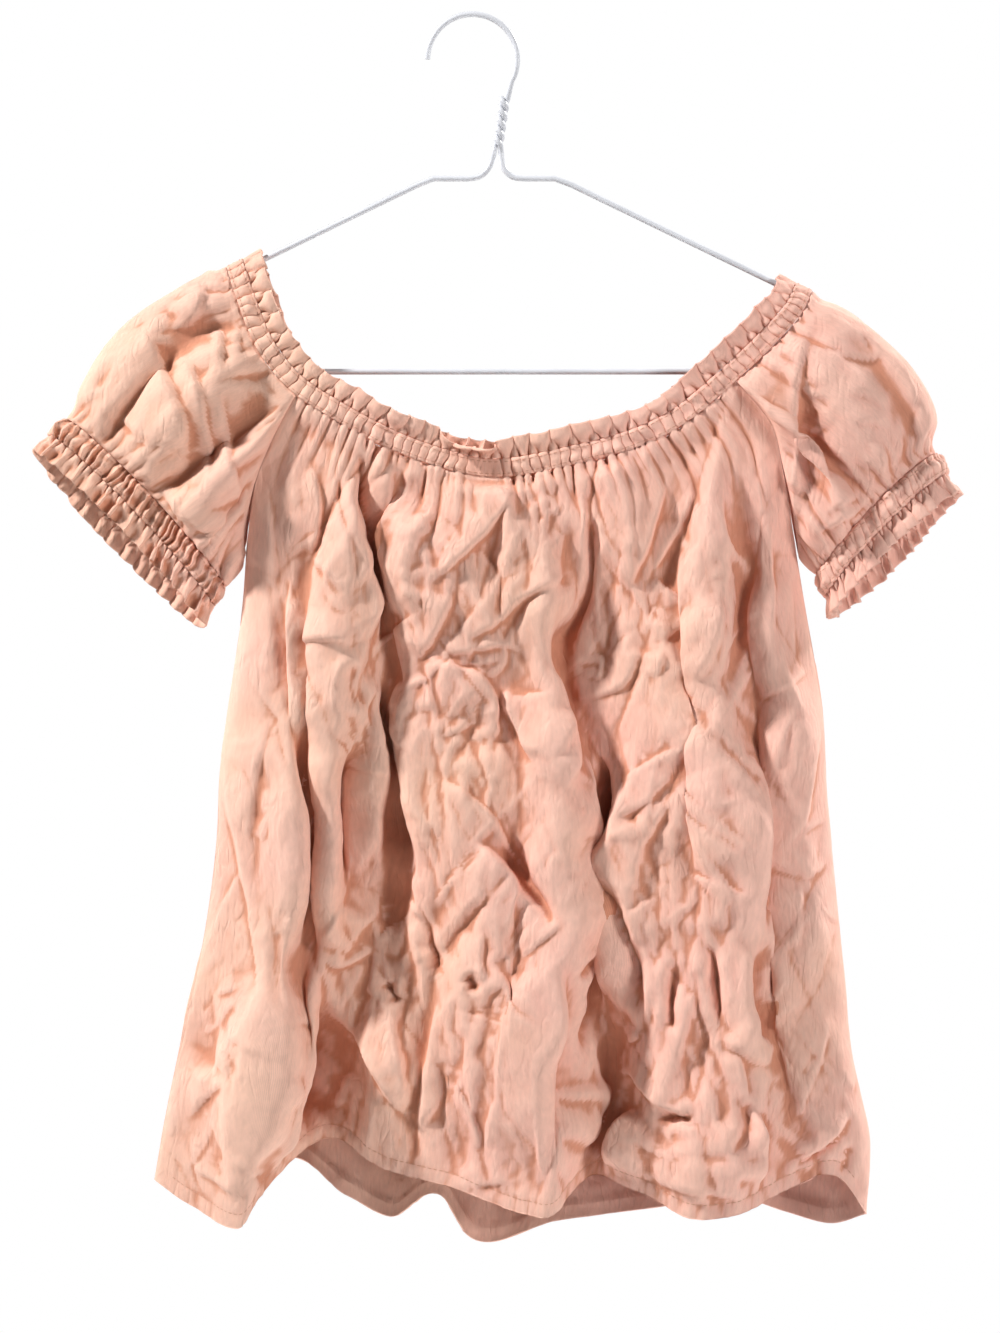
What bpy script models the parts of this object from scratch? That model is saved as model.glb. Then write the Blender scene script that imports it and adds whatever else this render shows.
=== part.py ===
"""Off-shoulder top with a gathered neck and short puff sleeves, hanging on a bent wire hanger.

Sizes are in millimetres until a mesh is made. The origin is where the hook rests on its nail, +X is to
the right as seen from the front, +Y goes to the back and +Z is up. Each piece of cloth is a wall made
from a grid of points on its middle surface.
"""

import math

import bpy
import numpy as np

MM = 0.001

# Cloth
WALL = 1.2
SEAM_GAP = 0.3

# Wire hanger
WIRE = 3.4
HOOK_RADIUS = 26.0
HOOK_CENTRE = (-1.5, WIRE / 2 - HOOK_RADIUS)
HOOK_OPEN_ANGLE = 180.0
HOOK_STEM_ANGLE = -30.0
TWIST_TOP = (17.0, -47.0)
TWIST_FOOT = (13.0, -75.0)
TWIST_TURNS = 2.5
TWIST_GAP = 0.4
ARM_SLOPE = math.radians(25.85)
ARM_START_LEFT = (-30.0, -95.4)
ARM_START_RIGHT = (52.6, -95.4)
ARM_LENGTH_LEFT = 178.0
ARM_LENGTH_RIGHT = 180.0
BAR_Z = -205.0
CORNER_REACH = 8.0

# Gathered bands
NECK_CASING = 10.5
NECK_RUFFLE = 12.0
CUFF_CASING = 13.0
CUFF_RUFFLE = 13.0
CASING_HEIGHT = 1.2
NECK_RUFFLE_HEIGHT = 2.6
CUFF_RUFFLE_HEIGHT = 3.4
NECK_CASING_WAVES = 80
NECK_RUFFLE_WAVES = 40
CUFF_CASING_WAVES = 20
CUFF_RUFFLE_WAVES = 14
HEM = 9.0
# How far the front and back stand apart from a plain slope between neck and hem, at mid height
BODY_SWELL = 5.0

# The neck seam in the front view, from the left shoulder to the right one
NECK_LINE = (
    # x, z
    (-134, -140),
    (-128, -158),
    (-112, -194),
    (-100, -208),
    (-76, -224),
    (-26, -248),
    (8, -256),
    (50, -250),
    (110, -230),
    (140, -206),
    (166, -181),
    (180, -165),
    (185, -154),
)
# How far the neck's front and back stand apart, and how much each is flattened between the shoulders
NECK_DEPTH = 30.0
NECK_FLATTEN_FRONT = 0.40
NECK_FLATTEN_BACK = 0.60
# Share of the neck seam, from the left shoulder, at which the raglan seams start
RAGLAN_LEFT = 0.20
RAGLAN_RIGHT = 0.84

# Raglan seam and side seam in the front view, below their start at the neck
EDGE_LEFT = (
    # x, z
    (-115, -243),
    (-126, -270),
    (-131, -302),
    (-134, -339),
    (-137, -365),
    (-143, -405),
    (-147, -434),
    (-149, -475),
    (-153, -510),
    (-159, -545),
    (-166, -574),
    (-172, -603),
    (-178, -632),
    (-185, -672),
)
EDGE_RIGHT = (
    # x, z
    (171, -238),
    (177, -262),
    (184, -302),
    (191, -344),
    (196, -372),
    (201, -406),
    (203, -446),
    (206, -481),
    (210, -522),
    (214, -562),
    (217, -597),
    (222, -620),
    (227, -645),
    (226, -692),
)
# Share of an edge that is the raglan seam
UNDERARM = 0.22

# Hems: where the bottom edge runs, with its depth behind or before the hanger
HEM_FRONT = (
    # share of width, x, z, depth
    (0.00, -185, -672, 16),
    (0.06, -163, -685, 24),
    (0.13, -131, -693, 44),
    (0.16, -124, -680, 30),
    (0.23, -88, -649, 10),
    (0.32, -52, -664, 18),
    (0.42, -12, -674, 26),
    (0.52, 28, -687, 38),
    (0.57, 45, -687, 40),
    (0.62, 66, -668, 16),
    (0.68, 92, -674, 24),
    (0.76, 125, -689, 38),
    (0.83, 156, -685, 37),
    (0.90, 186, -672, 22),
    (0.95, 207, -668, 20),
    (1.00, 226, -692, 16),
)
HEM_BACK = (
    # share of width, x, z, depth
    (0.00, -185, -672, 12),
    (0.08, -155, -668, 12),
    (0.20, -102, -662, 17),
    (0.28, -75, -681, 9),
    (0.34, -50, -695, 20),
    (0.42, -20, -682, 10),
    (0.47, -3, -706, 21),
    (0.58, 48, -697, 16),
    (0.70, 105, -690, 19),
    (0.80, 150, -683, 12),
    (0.87, 180, -692, 19),
    (0.94, 207, -698, 14),
    (1.00, 226, -692, 12),
)

# Folds on the front: where each lies across the width at its top, middle and foot, the stretch of
# height that it takes, its half width and how far it stands out. A negative height is a trough.
FOLDS_FRONT = (
    # top, middle, foot, from, to, half width, height
    (0.03, 0.07, 0.08, -0.10, 1.10, 20, 10),
    (0.09, 0.15, 0.19, 0.12, 0.88, 7, -15),
    (0.17, 0.21, 0.25, -0.10, 0.80, 13, 8),
    (0.25, 0.29, 0.31, -0.10, 0.76, 8, -11),
    (0.36, 0.40, 0.41, -0.10, 0.90, 22, 7),
    (0.47, 0.49, 0.47, 0.10, 0.80, 10, -6),
    (0.52, 0.53, 0.55, -0.10, 1.10, 17, 8),
    (0.58, 0.60, 0.68, 0.02, 0.96, 9, -14),
    (0.70, 0.69, 0.74, -0.10, 1.00, 18, 7),
    (0.78, 0.77, 0.80, 0.05, 0.62, 8, -9),
    (0.85, 0.82, 0.83, -0.10, 1.00, 15, 7),
    (0.91, 0.87, 0.89, 0.05, 0.95, 8, -13),
    (0.96, 0.94, 0.95, -0.10, 0.90, 14, 8),
)
FOLDS_BACK = (
    # top, middle, foot, from, to, half width, height
    (0.08, 0.12, 0.14, -0.10, 1.00, 18, 6),
    (0.18, 0.20, 0.24, 0.00, 0.90, 10, -8),
    (0.29, 0.30, 0.31, -0.10, 1.00, 18, 6),
    (0.40, 0.40, 0.42, 0.00, 1.00, 12, -8),
    (0.50, 0.52, 0.54, -0.10, 1.00, 20, 6),
    (0.61, 0.63, 0.66, 0.00, 0.95, 10, -8),
    (0.71, 0.73, 0.76, -0.10, 1.00, 18, 6),
    (0.82, 0.83, 0.84, 0.05, 0.95, 10, -8),
    (0.92, 0.91, 0.90, -0.10, 1.00, 16, 6),
)

# Sleeves: the upper outline from the shoulder to the cuff, and the two ends of the cuff seam
SLEEVE_TOP_LEFT = (
    # x, z
    (-143, -145),
    (-157, -151),
    (-175, -160),
    (-195, -173),
    (-210, -188),
    (-225, -212),
    (-236, -233),
)
SLEEVE_TOP_RIGHT = (
    # x, z
    (194, -159),
    (201, -163),
    (218, -172),
    (235, -186),
    (253, -206),
    (265, -228),
    (266, -253),
)
CUFF_LOW_LEFT = (-145, -329)
CUFF_LOW_RIGHT = (199, -322)
# Way out of the cuff in the front view, at its upper and lower ends
CUFF_AWAY_LEFT = ((-0.69, -0.73), (-0.50, -0.87))
CUFF_AWAY_RIGHT = ((0.49, -0.87), (0.35, -0.94))
CUFF_DEPTH = 19.0
# How far the cuff's front rides up and its back hangs down
CUFF_TILT = 6.0
SLEEVE_PUFF = 11.0
# Share round a sleeve over which it follows the upper outline
OUTLINE_REACH = 0.13
# Extra room between a sleeve and the body near the underarm, where both bulge beside the seam
UNDERARM_EASE = 1.6
FOLDS_SLEEVE_LEFT = (
    # share round the sleeve at the neck, middle and cuff, from, to, half width, height
    (0.03, 0.05, 0.06, 0.10, 1.05, 9, 5),
    (0.08, 0.10, 0.12, 0.05, 0.95, 7, -6),
    (0.14, 0.17, 0.19, -0.10, 1.05, 10, 7),
    (0.20, 0.24, 0.26, 0.10, 0.95, 7, -6),
    (0.28, 0.31, 0.33, -0.10, 1.05, 10, 6),
    (0.38, 0.38, 0.40, 0.10, 0.90, 7, -5),
    (0.66, 0.66, 0.66, 0.05, 0.95, 10, 4),
    (0.76, 0.76, 0.75, 0.05, 0.95, 8, -5),
    (0.86, 0.86, 0.84, 0.05, 0.95, 10, 5),
)
FOLDS_SLEEVE_RIGHT = (
    # share round the sleeve at the neck, middle and cuff, from, to, half width, height
    (0.20, 0.27, 0.36, -0.10, 1.05, 10, 6),
    (0.14, 0.21, 0.29, 0.05, 1.05, 9, -4),
    (0.08, 0.13, 0.18, 0.05, 1.05, 12, 5),
    (0.03, 0.06, 0.08, 0.20, 0.95, 7, -4),
    (0.66, 0.66, 0.66, 0.05, 0.95, 10, 4),
    (0.76, 0.76, 0.75, 0.05, 0.95, 8, -5),
    (0.86, 0.86, 0.84, 0.05, 0.95, 10, 5),
)

# Mesh density
FRONT_COLUMNS, FRONT_ROWS = 42, 20
BACK_COLUMNS, BACK_ROWS = 28, 17
SLEEVE_NECK_COLUMNS, SLEEVE_ROWS = 11, 7
RAGLAN_ROWS = 6
SHOULDER_CROWDING = 1.2
COLUMNS_PER_WAVE = 4
WIRE_BEVEL_RESOLUTION = 2

CLOTH_COLOUR = (0.80, 0.46, 0.33, 1.0)
CLOTH_ROUGHNESS = 0.9
WIRE_COLOUR = (0.82, 0.83, 0.86, 1.0)
WIRE_ROUGHNESS = 0.35


def clear_scene():
    for thing in list(bpy.data.objects):
        bpy.data.objects.remove(thing)


def material(name, colour, roughness):
    made = bpy.data.materials.new(name)
    made.use_nodes = True
    shader = made.node_tree.nodes["Principled BSDF"]
    shader.inputs["Base Color"].default_value = colour
    shader.inputs["Roughness"].default_value = roughness
    shader.inputs["Metallic"].default_value = 0.0
    return made


def unit(vectors):
    return vectors / np.maximum(np.linalg.norm(vectors, axis=-1, keepdims=True), 1e-9)


def ease(value):
    """0 below 0, 1 above 1, and a smooth step between."""
    t = np.clip(value, 0.0, 1.0)
    return t * t * (3 - 2 * t)


def hermite(at, values, where):
    """A smooth curve through `values` known at `at`, read at `where`."""
    slope = np.gradient(values, at, axis=0)
    i = np.clip(np.searchsorted(at, where, side="right") - 1, 0, len(at) - 2)
    span = at[i + 1] - at[i]
    t = (where - at[i]) / span
    if values.ndim > 1:
        span, t = span[:, None], t[:, None]
    return (
        values[i] * (1 + 2 * t) * (1 - t) ** 2
        + values[i + 1] * t * t * (3 - 2 * t)
        + slope[i] * span * t * (1 - t) ** 2
        + slope[i + 1] * span * t * t * (t - 1)
    )


def lengths_along(line):
    return np.concatenate([[0], np.cumsum(np.linalg.norm(np.diff(line, axis=0), axis=1))])


def read_line(line, known, where):
    return np.stack([np.interp(where, known, line[:, k]) for k in range(line.shape[1])], axis=-1)


def smooth_line(points, count=400):
    """A smooth line through the points, as `count` points evenly spaced along it."""
    known = np.array(points, float)
    chord = lengths_along(known)
    line = hermite(chord, known, np.linspace(0, chord[-1], count))
    along = lengths_along(line)
    return read_line(line, along, np.linspace(0, along[-1], count))


def at_share(line, share):
    """Points of an evenly spaced line at these shares of its length."""
    return read_line(line, np.linspace(0, 1, len(line)), share)


def table_column(table, shares, column):
    """A smooth curve through one column of a table whose first column is the share."""
    known = np.array(table, float)
    return hermite(known[:, 0], known[:, column], shares)


class SeamRing:
    """A closed seam, evenly spaced: at each share of the turn its point, the way across the seam and
    the way out of the cloth."""

    def __init__(self, points, across):
        along = lengths_along(points)
        self.length = along[-1]
        self.known = np.linspace(0, 1, len(points))
        even = self.known * self.length
        self.points = read_line(points, along, even)
        self.across = unit(read_line(across, along, even))
        forward = np.gradient(self.points, axis=0)
        forward[0] = forward[-1] = self.points[1] - self.points[-2]
        self.out = unit(np.cross(unit(forward), self.across))
        centre = self.points[:-1].mean(axis=0)
        if np.sum(self.out * (self.points - centre)) < 0:
            self.out = -self.out

    def at(self, turn):
        """Point, way across and way out at these shares of the ring."""
        turn = np.mod(turn, 1.0)
        return tuple(read_line(v, self.known, turn) for v in (self.points, self.across, self.out))


class NeckRing(SeamRing):
    """The seam between the neck casing and its ruffle. It starts at the left shoulder and runs along
    the front to the right shoulder and back behind."""

    SAMPLES = 2400
    SHOULDER = 0.08

    def __init__(self):
        line = smooth_line(NECK_LINE)
        angle = np.linspace(0, 2 * math.pi, self.SAMPLES + 1)
        share = (1 - np.cos(angle)) / 2
        flat = at_share(line, share)
        depth = np.sin(angle)
        flatten = np.where(depth > 0, NECK_FLATTEN_FRONT, NECK_FLATTEN_BACK)
        y = -NECK_DEPTH * depth * (1 - flatten * depth**2)
        points = np.stack([flat[:, 0], y, flat[:, 1]], axis=1)
        tangent = unit(np.gradient(line, axis=0))
        across = at_share(np.stack([-tangent[:, 1], tangent[:, 0]], axis=1), share)
        arm = np.array([math.cos(ARM_SLOPE), math.sin(ARM_SLOPE)])
        left = (1 - ease(share / self.SHOULDER))[:, None]
        right = ease((share - 1 + self.SHOULDER) / self.SHOULDER)[:, None]
        across = across * (1 - left - right) + left * arm + right * arm * (-1, 1)
        across = np.stack([across[:, 0], np.zeros(len(across)), across[:, 1]], axis=1)
        super().__init__(points, across)
        along = lengths_along(points)
        self.share_along = np.interp(self.known * self.length, along, share)
        self.half = int(np.argmax(self.share_along))

    def turn_of(self, share, front):
        """The share of the turn at which the front or back strand is at this share of the seam."""
        if front:
            front_known = self.known[: self.half]
            return float(np.interp(share, self.share_along[: self.half], front_known))
        back = self.share_along[self.half :][::-1]
        return float(np.interp(share, back, self.known[self.half :][::-1]))

    def below(self, turn, extra=0.0):
        """Point and way out just below the casing."""
        point, across, out = self.at(turn)
        return point - (NECK_CASING + SEAM_GAP + extra) * across, out


class CuffRing(SeamRing):
    """The seam where the sleeve ends. It starts at the top and runs down the front and up the back."""

    SAMPLES = 900

    def __init__(self, top, low, away):
        top, low = np.array(top, float), np.array(low, float)
        angle = np.linspace(0, 2 * math.pi, self.SAMPLES + 1)
        down = ((1 - np.cos(angle)) / 2)[:, None]
        front = np.sin(angle)
        way = unit(np.array(away[0]) * (1 - down) + np.array(away[1]) * down)
        flat = top * (1 - down) + low * down - way * (CUFF_TILT * front)[:, None]
        y = -CUFF_DEPTH * front * (1 - 0.3 * front**2)
        points = np.stack([flat[:, 0], y, flat[:, 1]], axis=1)
        super().__init__(points, np.stack([way[:, 0], np.zeros(len(way)), way[:, 1]], axis=1))


class SideSeam:
    """One edge of the front or back: the raglan seam down to the underarm, then the side seam."""

    SAMPLES = 500

    def __init__(self, ring, share, table, front, left):
        self.turn = ring.turn_of(share, front)
        top = ring.below(np.array([self.turn]))[0][0]
        flat = smooth_line(((top[0], top[2]),) + tuple(table), self.SAMPLES)
        self.known = np.linspace(0, 1, self.SAMPLES)
        arm = np.clip(self.known / UNDERARM, 0, 1)
        self.points = np.stack([flat[:, 0], top[1] * (1 - arm**4), flat[:, 1]], axis=1)
        self.side_x = -1 if left else 1
        self.side_y = -1 if front else 1
        self.panel_frame = self.frame(0.5 * math.pi * ease((arm - 0.75) / 0.25))
        self.sleeve_frame = self.frame(np.zeros(self.SAMPLES))

    def frame(self, turned):
        """The way across the seam and out of the cloth, turned from facing front to facing sideways."""
        along = unit(np.gradient(self.points, axis=0))
        level = np.zeros(self.SAMPLES)
        across = np.stack([self.side_x * np.cos(turned), -self.side_y * np.sin(turned), level], axis=1)
        across = unit(across - np.sum(across * along, axis=1, keepdims=True) * along)
        out = np.cross(along, across)
        return across, out * np.sign(out[0, 1] * self.side_y)

    def at(self, v, shift, frame):
        """Points moved across the seam by `shift`, and the way out there."""
        across, out = (read_line(ways, self.known, v) for ways in frame)
        shift = np.broadcast_to(shift, v.shape)
        return read_line(self.points, self.known, v) + across * shift[:, None], unit(out)


def fold_height(table, u, v, width):
    """How far the folds of a table stand out at (u, v), on cloth this wide there."""
    total = np.zeros_like(u)
    for top, middle, foot, start, end, half_width, height in table:
        line = top + v * (4 * middle - 3 * top - foot) + v * v * (2 * top + 2 * foot - 4 * middle)
        reach = (u - line) * width / half_width
        fade = ease((v - start) / 0.16) * (1 - ease((v - end + 0.16) / 0.16))
        total += height * fade * np.exp(-reach * reach)
    return total


def between_edges(top, bottom, left, right, u, v):
    """A surface between four edges: top and bottom run along u, left and right along v."""
    uu, vv = u[:, None, None], v[None, :, None]
    return (
        (1 - vv) * top[:, None]
        + vv * bottom[:, None]
        + (1 - uu) * left[None]
        + uu * right[None]
        - (1 - uu) * (1 - vv) * top[0]
        - uu * (1 - vv) * top[-1]
        - (1 - uu) * vv * bottom[0]
        - uu * vv * bottom[-1]
    )


def raglan_shares():
    """Shares of an edge at which the panels and the sleeve have their points along the raglan seam."""
    return np.linspace(0, UNDERARM, RAGLAN_ROWS + 1)


def turn_in(share):
    """1 over most of a panel, falling to 0 at its sides as cloth does when it turns a corner."""
    return np.sqrt(np.clip(1 - np.abs(2 * share - 1) ** 6, 0, 1))


def spaced_columns(count):
    """Shares across a panel, closer together near its sides."""
    side = np.array([0.0, 0.004, 0.014])
    inner = np.linspace(0.032, 0.968, count + 1 - 2 * len(side))
    return np.concatenate([side, inner, 1 - side[::-1]])


class Panel:
    """The middle surface of the front or back, from the neck casing to the hem."""

    def __init__(self, ring, front):
        self.ring = ring
        self.side = -1 if front else 1
        self.left = SideSeam(ring, RAGLAN_LEFT, EDGE_LEFT, front, True)
        self.right = SideSeam(ring, RAGLAN_RIGHT, EDGE_RIGHT, front, False)
        self.hem = HEM_FRONT if front else HEM_BACK
        self.folds = FOLDS_FRONT if front else FOLDS_BACK

    def grid(self, u, v):
        """Points in columns from neck to hem, and the way out along the top and both sides."""
        turn = self.left.turn + (self.right.turn - self.left.turn) * u
        top, top_out = self.ring.below(turn)
        depth = table_column(self.hem, u, 3) * turn_in(u)
        bottom = np.stack(
            [table_column(self.hem, u, 1), self.side * depth, table_column(self.hem, u, 2)], axis=1
        )
        left, left_out = self.left.at(v, -SEAM_GAP / 2, self.left.panel_frame)
        right, right_out = self.right.at(v, -SEAM_GAP / 2, self.right.panel_frame)
        top[0], top[-1] = left[0], right[0]
        bottom[0], bottom[-1] = left[-1], right[-1]
        grid = between_edges(top, bottom, left, right, u, v)
        uu, vv = np.meshgrid(u, v, indexing="ij")
        y = (1 - vv) * top[:, None, 1] + vv * bottom[:, None, 1]
        near_edge = 1 - turn_in(uu)
        y_left = left[None, :, 1] - (1 - vv) * top[0, 1] - vv * bottom[0, 1]
        y_right = right[None, :, 1] - (1 - vv) * top[-1, 1] - vv * bottom[-1, 1]
        y = y + near_edge * np.where(uu < 0.5, y_left, y_right)
        width = np.linalg.norm(right - left, axis=1)[None, :]
        lift = fold_height(self.folds, uu, vv, width)
        at_neck = 0.35 + 0.65 * ease(vv / 0.12)
        at_hem = 1 - 0.7 * ease((vv - 0.86) / 0.14)
        lift = lift * turn_in(uu) * at_neck * at_hem
        lift[:, 0] = 0
        swell = BODY_SWELL * np.sin(math.pi * vv) ** 0.7 * turn_in(uu)
        grid[..., 1] = y + self.side * (lift + swell)
        return grid, top_out, left_out, right_out


def facing_out(grid, closed, outward):
    """Unit normals of a grid, on the side that `outward` points to, and 1 or -1 for its winding."""
    if closed:
        du = np.roll(grid, -1, axis=0) - np.roll(grid, 1, axis=0)
    else:
        du = np.gradient(grid, axis=0)
    normal = unit(np.cross(du, np.gradient(grid, axis=1)))
    facing = np.sign(np.sum(normal * outward, axis=-1).mean())
    return normal * facing, facing


def wall(name, grid, normal, facing, closed, cover, outer=WALL / 2, inner=WALL / 2):
    """A closed wall round a grid of points on its middle surface, out and in by these distances."""
    columns, rows = grid.shape[:2]
    outer = np.broadcast_to(outer, (columns, rows))[..., None]
    inner = np.broadcast_to(inner, (columns, rows))[..., None]
    outside, inside = grid + normal * outer, grid - normal * inner
    points = np.concatenate([outside.reshape(-1, 3), inside.reshape(-1, 3)]) * MM
    shift = columns * rows
    last = rows - 1

    def index(i, j):
        return (i % columns) * rows + j

    faces = []
    middle = grid.reshape(-1, 3)
    for i in range(columns if closed else columns - 1):
        for j in range(last):
            a, b, c, d = index(i, j), index(i + 1, j), index(i + 1, j + 1), index(i, j + 1)
            halves = [(a, b, c), (a, c, d)]
            if np.linalg.norm(middle[a] - middle[c]) > np.linalg.norm(middle[b] - middle[d]):
                halves = [(a, b, d), (b, c, d)]
            for half in halves:
                faces.append(list(half))
                faces.append([shift + k for k in reversed(half)])
        faces.append([index(i, 0), shift + index(i, 0), shift + index(i + 1, 0), index(i + 1, 0)])
        low, low_next = index(i, last), index(i + 1, last)
        faces.append([low, low_next, shift + low_next, shift + low])
    if not closed:
        end = columns - 1
        for j in range(last):
            faces.append([index(0, j), index(0, j + 1), shift + index(0, j + 1), shift + index(0, j)])
            side, side_next = index(end, j), index(end, j + 1)
            faces.append([side, shift + side, shift + side_next, side_next])
    if facing < 0:
        faces = [face[::-1] for face in faces]
    mesh = bpy.data.meshes.new(name)
    mesh.from_pydata(points.tolist(), [], faces)
    mesh.update()
    mesh.shade_smooth()
    mesh.materials.append(cover)
    made = bpy.data.objects.new(name, mesh)
    bpy.context.scene.collection.objects.link(made)
    return made


def build_panel(name, panel, columns, rows, cover):
    """The front or back. Its hem is turned up inside, so its wall is twice as thick there."""
    height = np.linalg.norm(np.diff(panel.left.points, axis=0), axis=1).sum()
    fold = 1 - HEM / height
    below = np.linspace(UNDERARM, fold - 0.003, rows - RAGLAN_ROWS)[1:]
    v = np.concatenate([raglan_shares(), below, [fold, 1.0]])
    grid, top_out, left_out, right_out = panel.grid(spaced_columns(columns), v)
    normal, facing = facing_out(grid, False, np.array([0, panel.side, 0]))
    normal[:, 0] = top_out
    normal[0], normal[-1] = left_out, right_out
    turned_up = (v >= fold)[None, :] & (turn_in(spaced_columns(columns)) > 0.7)[:, None]
    inner = WALL / 2 + WALL * turned_up
    return wall(name, grid, normal, facing, False, cover, WALL / 2, inner)


class Sleeve:
    """The middle surface of one sleeve: round its neck and raglan seams, and down to its cuff."""

    def __init__(self, ring, front, back, outline, cuff, folds, shoulder_turn):
        self.ring = ring
        self.seams = (front, back)
        self.outline = smooth_line(outline)
        self.cuff = cuff
        self.folds = folds
        self.shoulder_turn = shoulder_turn

    def start_ring(self):
        """Points and the way out along the neck and raglan seams: from the shoulder, down the front,
        and up the back again."""
        neck_share = np.linspace(0, 1, SLEEVE_NECK_COLUMNS + 1) ** SHOULDER_CROWDING
        v = raglan_shares()[1:]
        v[-1] *= 0.985
        slack = UNDERARM_EASE * ease((v / UNDERARM - 0.45) / 0.4)
        parts = []
        for seam, sign in zip(self.seams, (1, -1)):
            span = seam.turn - self.shoulder_turn
            if abs(span) > 0.5:
                span -= math.copysign(1.0, span)
            near = abs(span) - SEAM_GAP / 2 / self.ring.length
            turns = self.shoulder_turn + math.copysign(near, span) * neck_share
            neck, neck_out = self.ring.below(turns)
            raglan, raglan_out = seam.at(v, SEAM_GAP / 2 + slack, seam.sleeve_frame)
            line, out = np.concatenate([neck, raglan]), np.concatenate([neck_out, raglan_out])
            parts.append((line[::sign], out[::sign]))
        line = np.concatenate([part[0] for part in parts])
        out = np.concatenate([part[1] for part in parts])
        return line, out

    def grid(self, w):
        """Points in columns round the sleeve, their shares of the turn, and the ways out at its ends."""
        start, start_out = self.start_ring()
        along = lengths_along(start)
        u = along[:-1] / along[-1]
        start, start_out = start[:-1], start_out[:-1]
        end, _, end_out = self.cuff.at(u)
        uu, ww = u[:, None, None], w[None, :, None]
        grid = start[:, None] * (1 - ww) + end[:, None] * ww
        chord = (1 - w)[:, None] * start[0] + w[:, None] * end[0]
        bow = at_share(self.outline, w) - chord[:, [0, 2]]
        bow = bow * (ease(w / 0.15) * ease((1 - w) / 0.15))[:, None]
        near_top = np.exp(-(((uu + 0.5) % 1.0 - 0.5) / OUTLINE_REACH) ** 2)
        grid[..., [0, 2]] += near_top * bow[None]
        swell = np.abs(np.sin(2 * math.pi * uu)) ** 0.6 * np.sin(math.pi * ww) ** 0.8
        side = np.where(uu < 0.5, -1.0, 1.0)
        width = np.full((1, len(w)), 0.5 * (along[-1] + self.cuff.length))
        lift = fold_height(self.folds, *np.meshgrid(u, w, indexing="ij"), width)[..., None]
        lift = lift * np.minimum(np.abs(np.sin(2 * math.pi * uu)) * 2, 1) * np.sin(math.pi * ww) ** 0.5
        grid[..., 1:2] += side * (SLEEVE_PUFF * swell + lift)
        return u, grid, start_out, end_out


def build_sleeve(name, sleeve, cover):
    u, grid, start_out, end_out = sleeve.grid(np.linspace(0, 1, SLEEVE_ROWS + 1))
    outward = grid - grid.mean(axis=0, keepdims=True)
    normal, facing = facing_out(grid, True, outward)
    keep = (1 - ease((0.15 - np.abs(u - 0.5)) / 0.08))[:, None]
    normal[:, 0] = unit(start_out * keep + normal[:, 0] * (1 - keep))
    normal[:, -1] = end_out
    return wall(name, grid, normal, facing, True, cover)


def wave(turn, count, wander):
    """A run of gathers round a ring: uneven in pitch and height, and closed on itself."""
    drift = 0.35 * np.sin(2 * math.pi * 3 * turn + wander) + 0.25 * np.sin(2 * math.pi * 7 * turn)
    size = 0.8 + 0.2 * np.sin(2 * math.pi * 5 * turn + 2 * wander)
    return size * np.cos(2 * math.pi * (count * turn + 0.25 * drift))


def band(name, ring, start, end, waves, start_height, end_height, cover, shoulders=()):
    """A gathered strip round a seam, from `start` to `end` across it."""
    turn = np.arange(waves * COLUMNS_PER_WAVE) / (waves * COLUMNS_PER_WAVE)
    point, across, out = ring.at(turn)
    lift = wave(turn, waves, 1.0)
    for place in shoulders:
        apart = np.abs((turn - place + 0.5) % 1.0 - 0.5)
        lift = lift * (0.4 + 0.6 * ease(apart / 0.03))
    reach = np.array([start, end])
    height = np.array([start_height, end_height])
    grid = (
        point[:, None]
        + across[:, None] * reach[None, :, None]
        + out[:, None] * (lift[:, None] * height[None])[..., None]
    )
    normal, facing = facing_out(grid, True, out[:, None])
    normal = normal - np.sum(normal * across[:, None], axis=-1, keepdims=True) * across[:, None]
    return wall(name, grid, unit(normal), facing, True, cover)


def twist_strand(phase):
    """One strand of the twist, wound round its axis from the top to the foot."""
    steps = int(8 * TWIST_TURNS)
    share = np.linspace(0, 1, steps + 1)
    top = np.array([TWIST_TOP[0], 0.0, TWIST_TOP[1]])
    foot = np.array([TWIST_FOOT[0], 0.0, TWIST_FOOT[1]])
    axis = unit(foot - top)
    sideways = np.array([-axis[2], 0.0, axis[0]])
    angle = 2 * math.pi * TWIST_TURNS * share + phase
    radius = (WIRE + TWIST_GAP) / 2
    ring = np.cos(angle)[:, None] * sideways + np.sin(angle)[:, None] * np.array([0.0, 1.0, 0.0])
    return top + (foot - top) * share[:, None] + radius * ring


def arm_points(start, length, side):
    """One arm from its inner end to the corner, and round the corner to the bar."""
    way = np.array([side * math.cos(ARM_SLOPE), -math.sin(ARM_SLOPE)])
    start = np.array(start)
    end = start + way * length
    arm = [start + way * length * share for share in (0.02, 0.2, 0.4, 0.6, 0.8, 1.0)]
    corner = np.array([end[0] + side * CORNER_REACH, (end[1] + BAR_Z) / 2])
    foot = np.array([end[0], BAR_Z])
    bend = smooth_line((end, corner + (0, 6), corner - (0, 6), foot), 12)
    return [tuple(point) for point in arm + list(bend[1:])]


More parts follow.
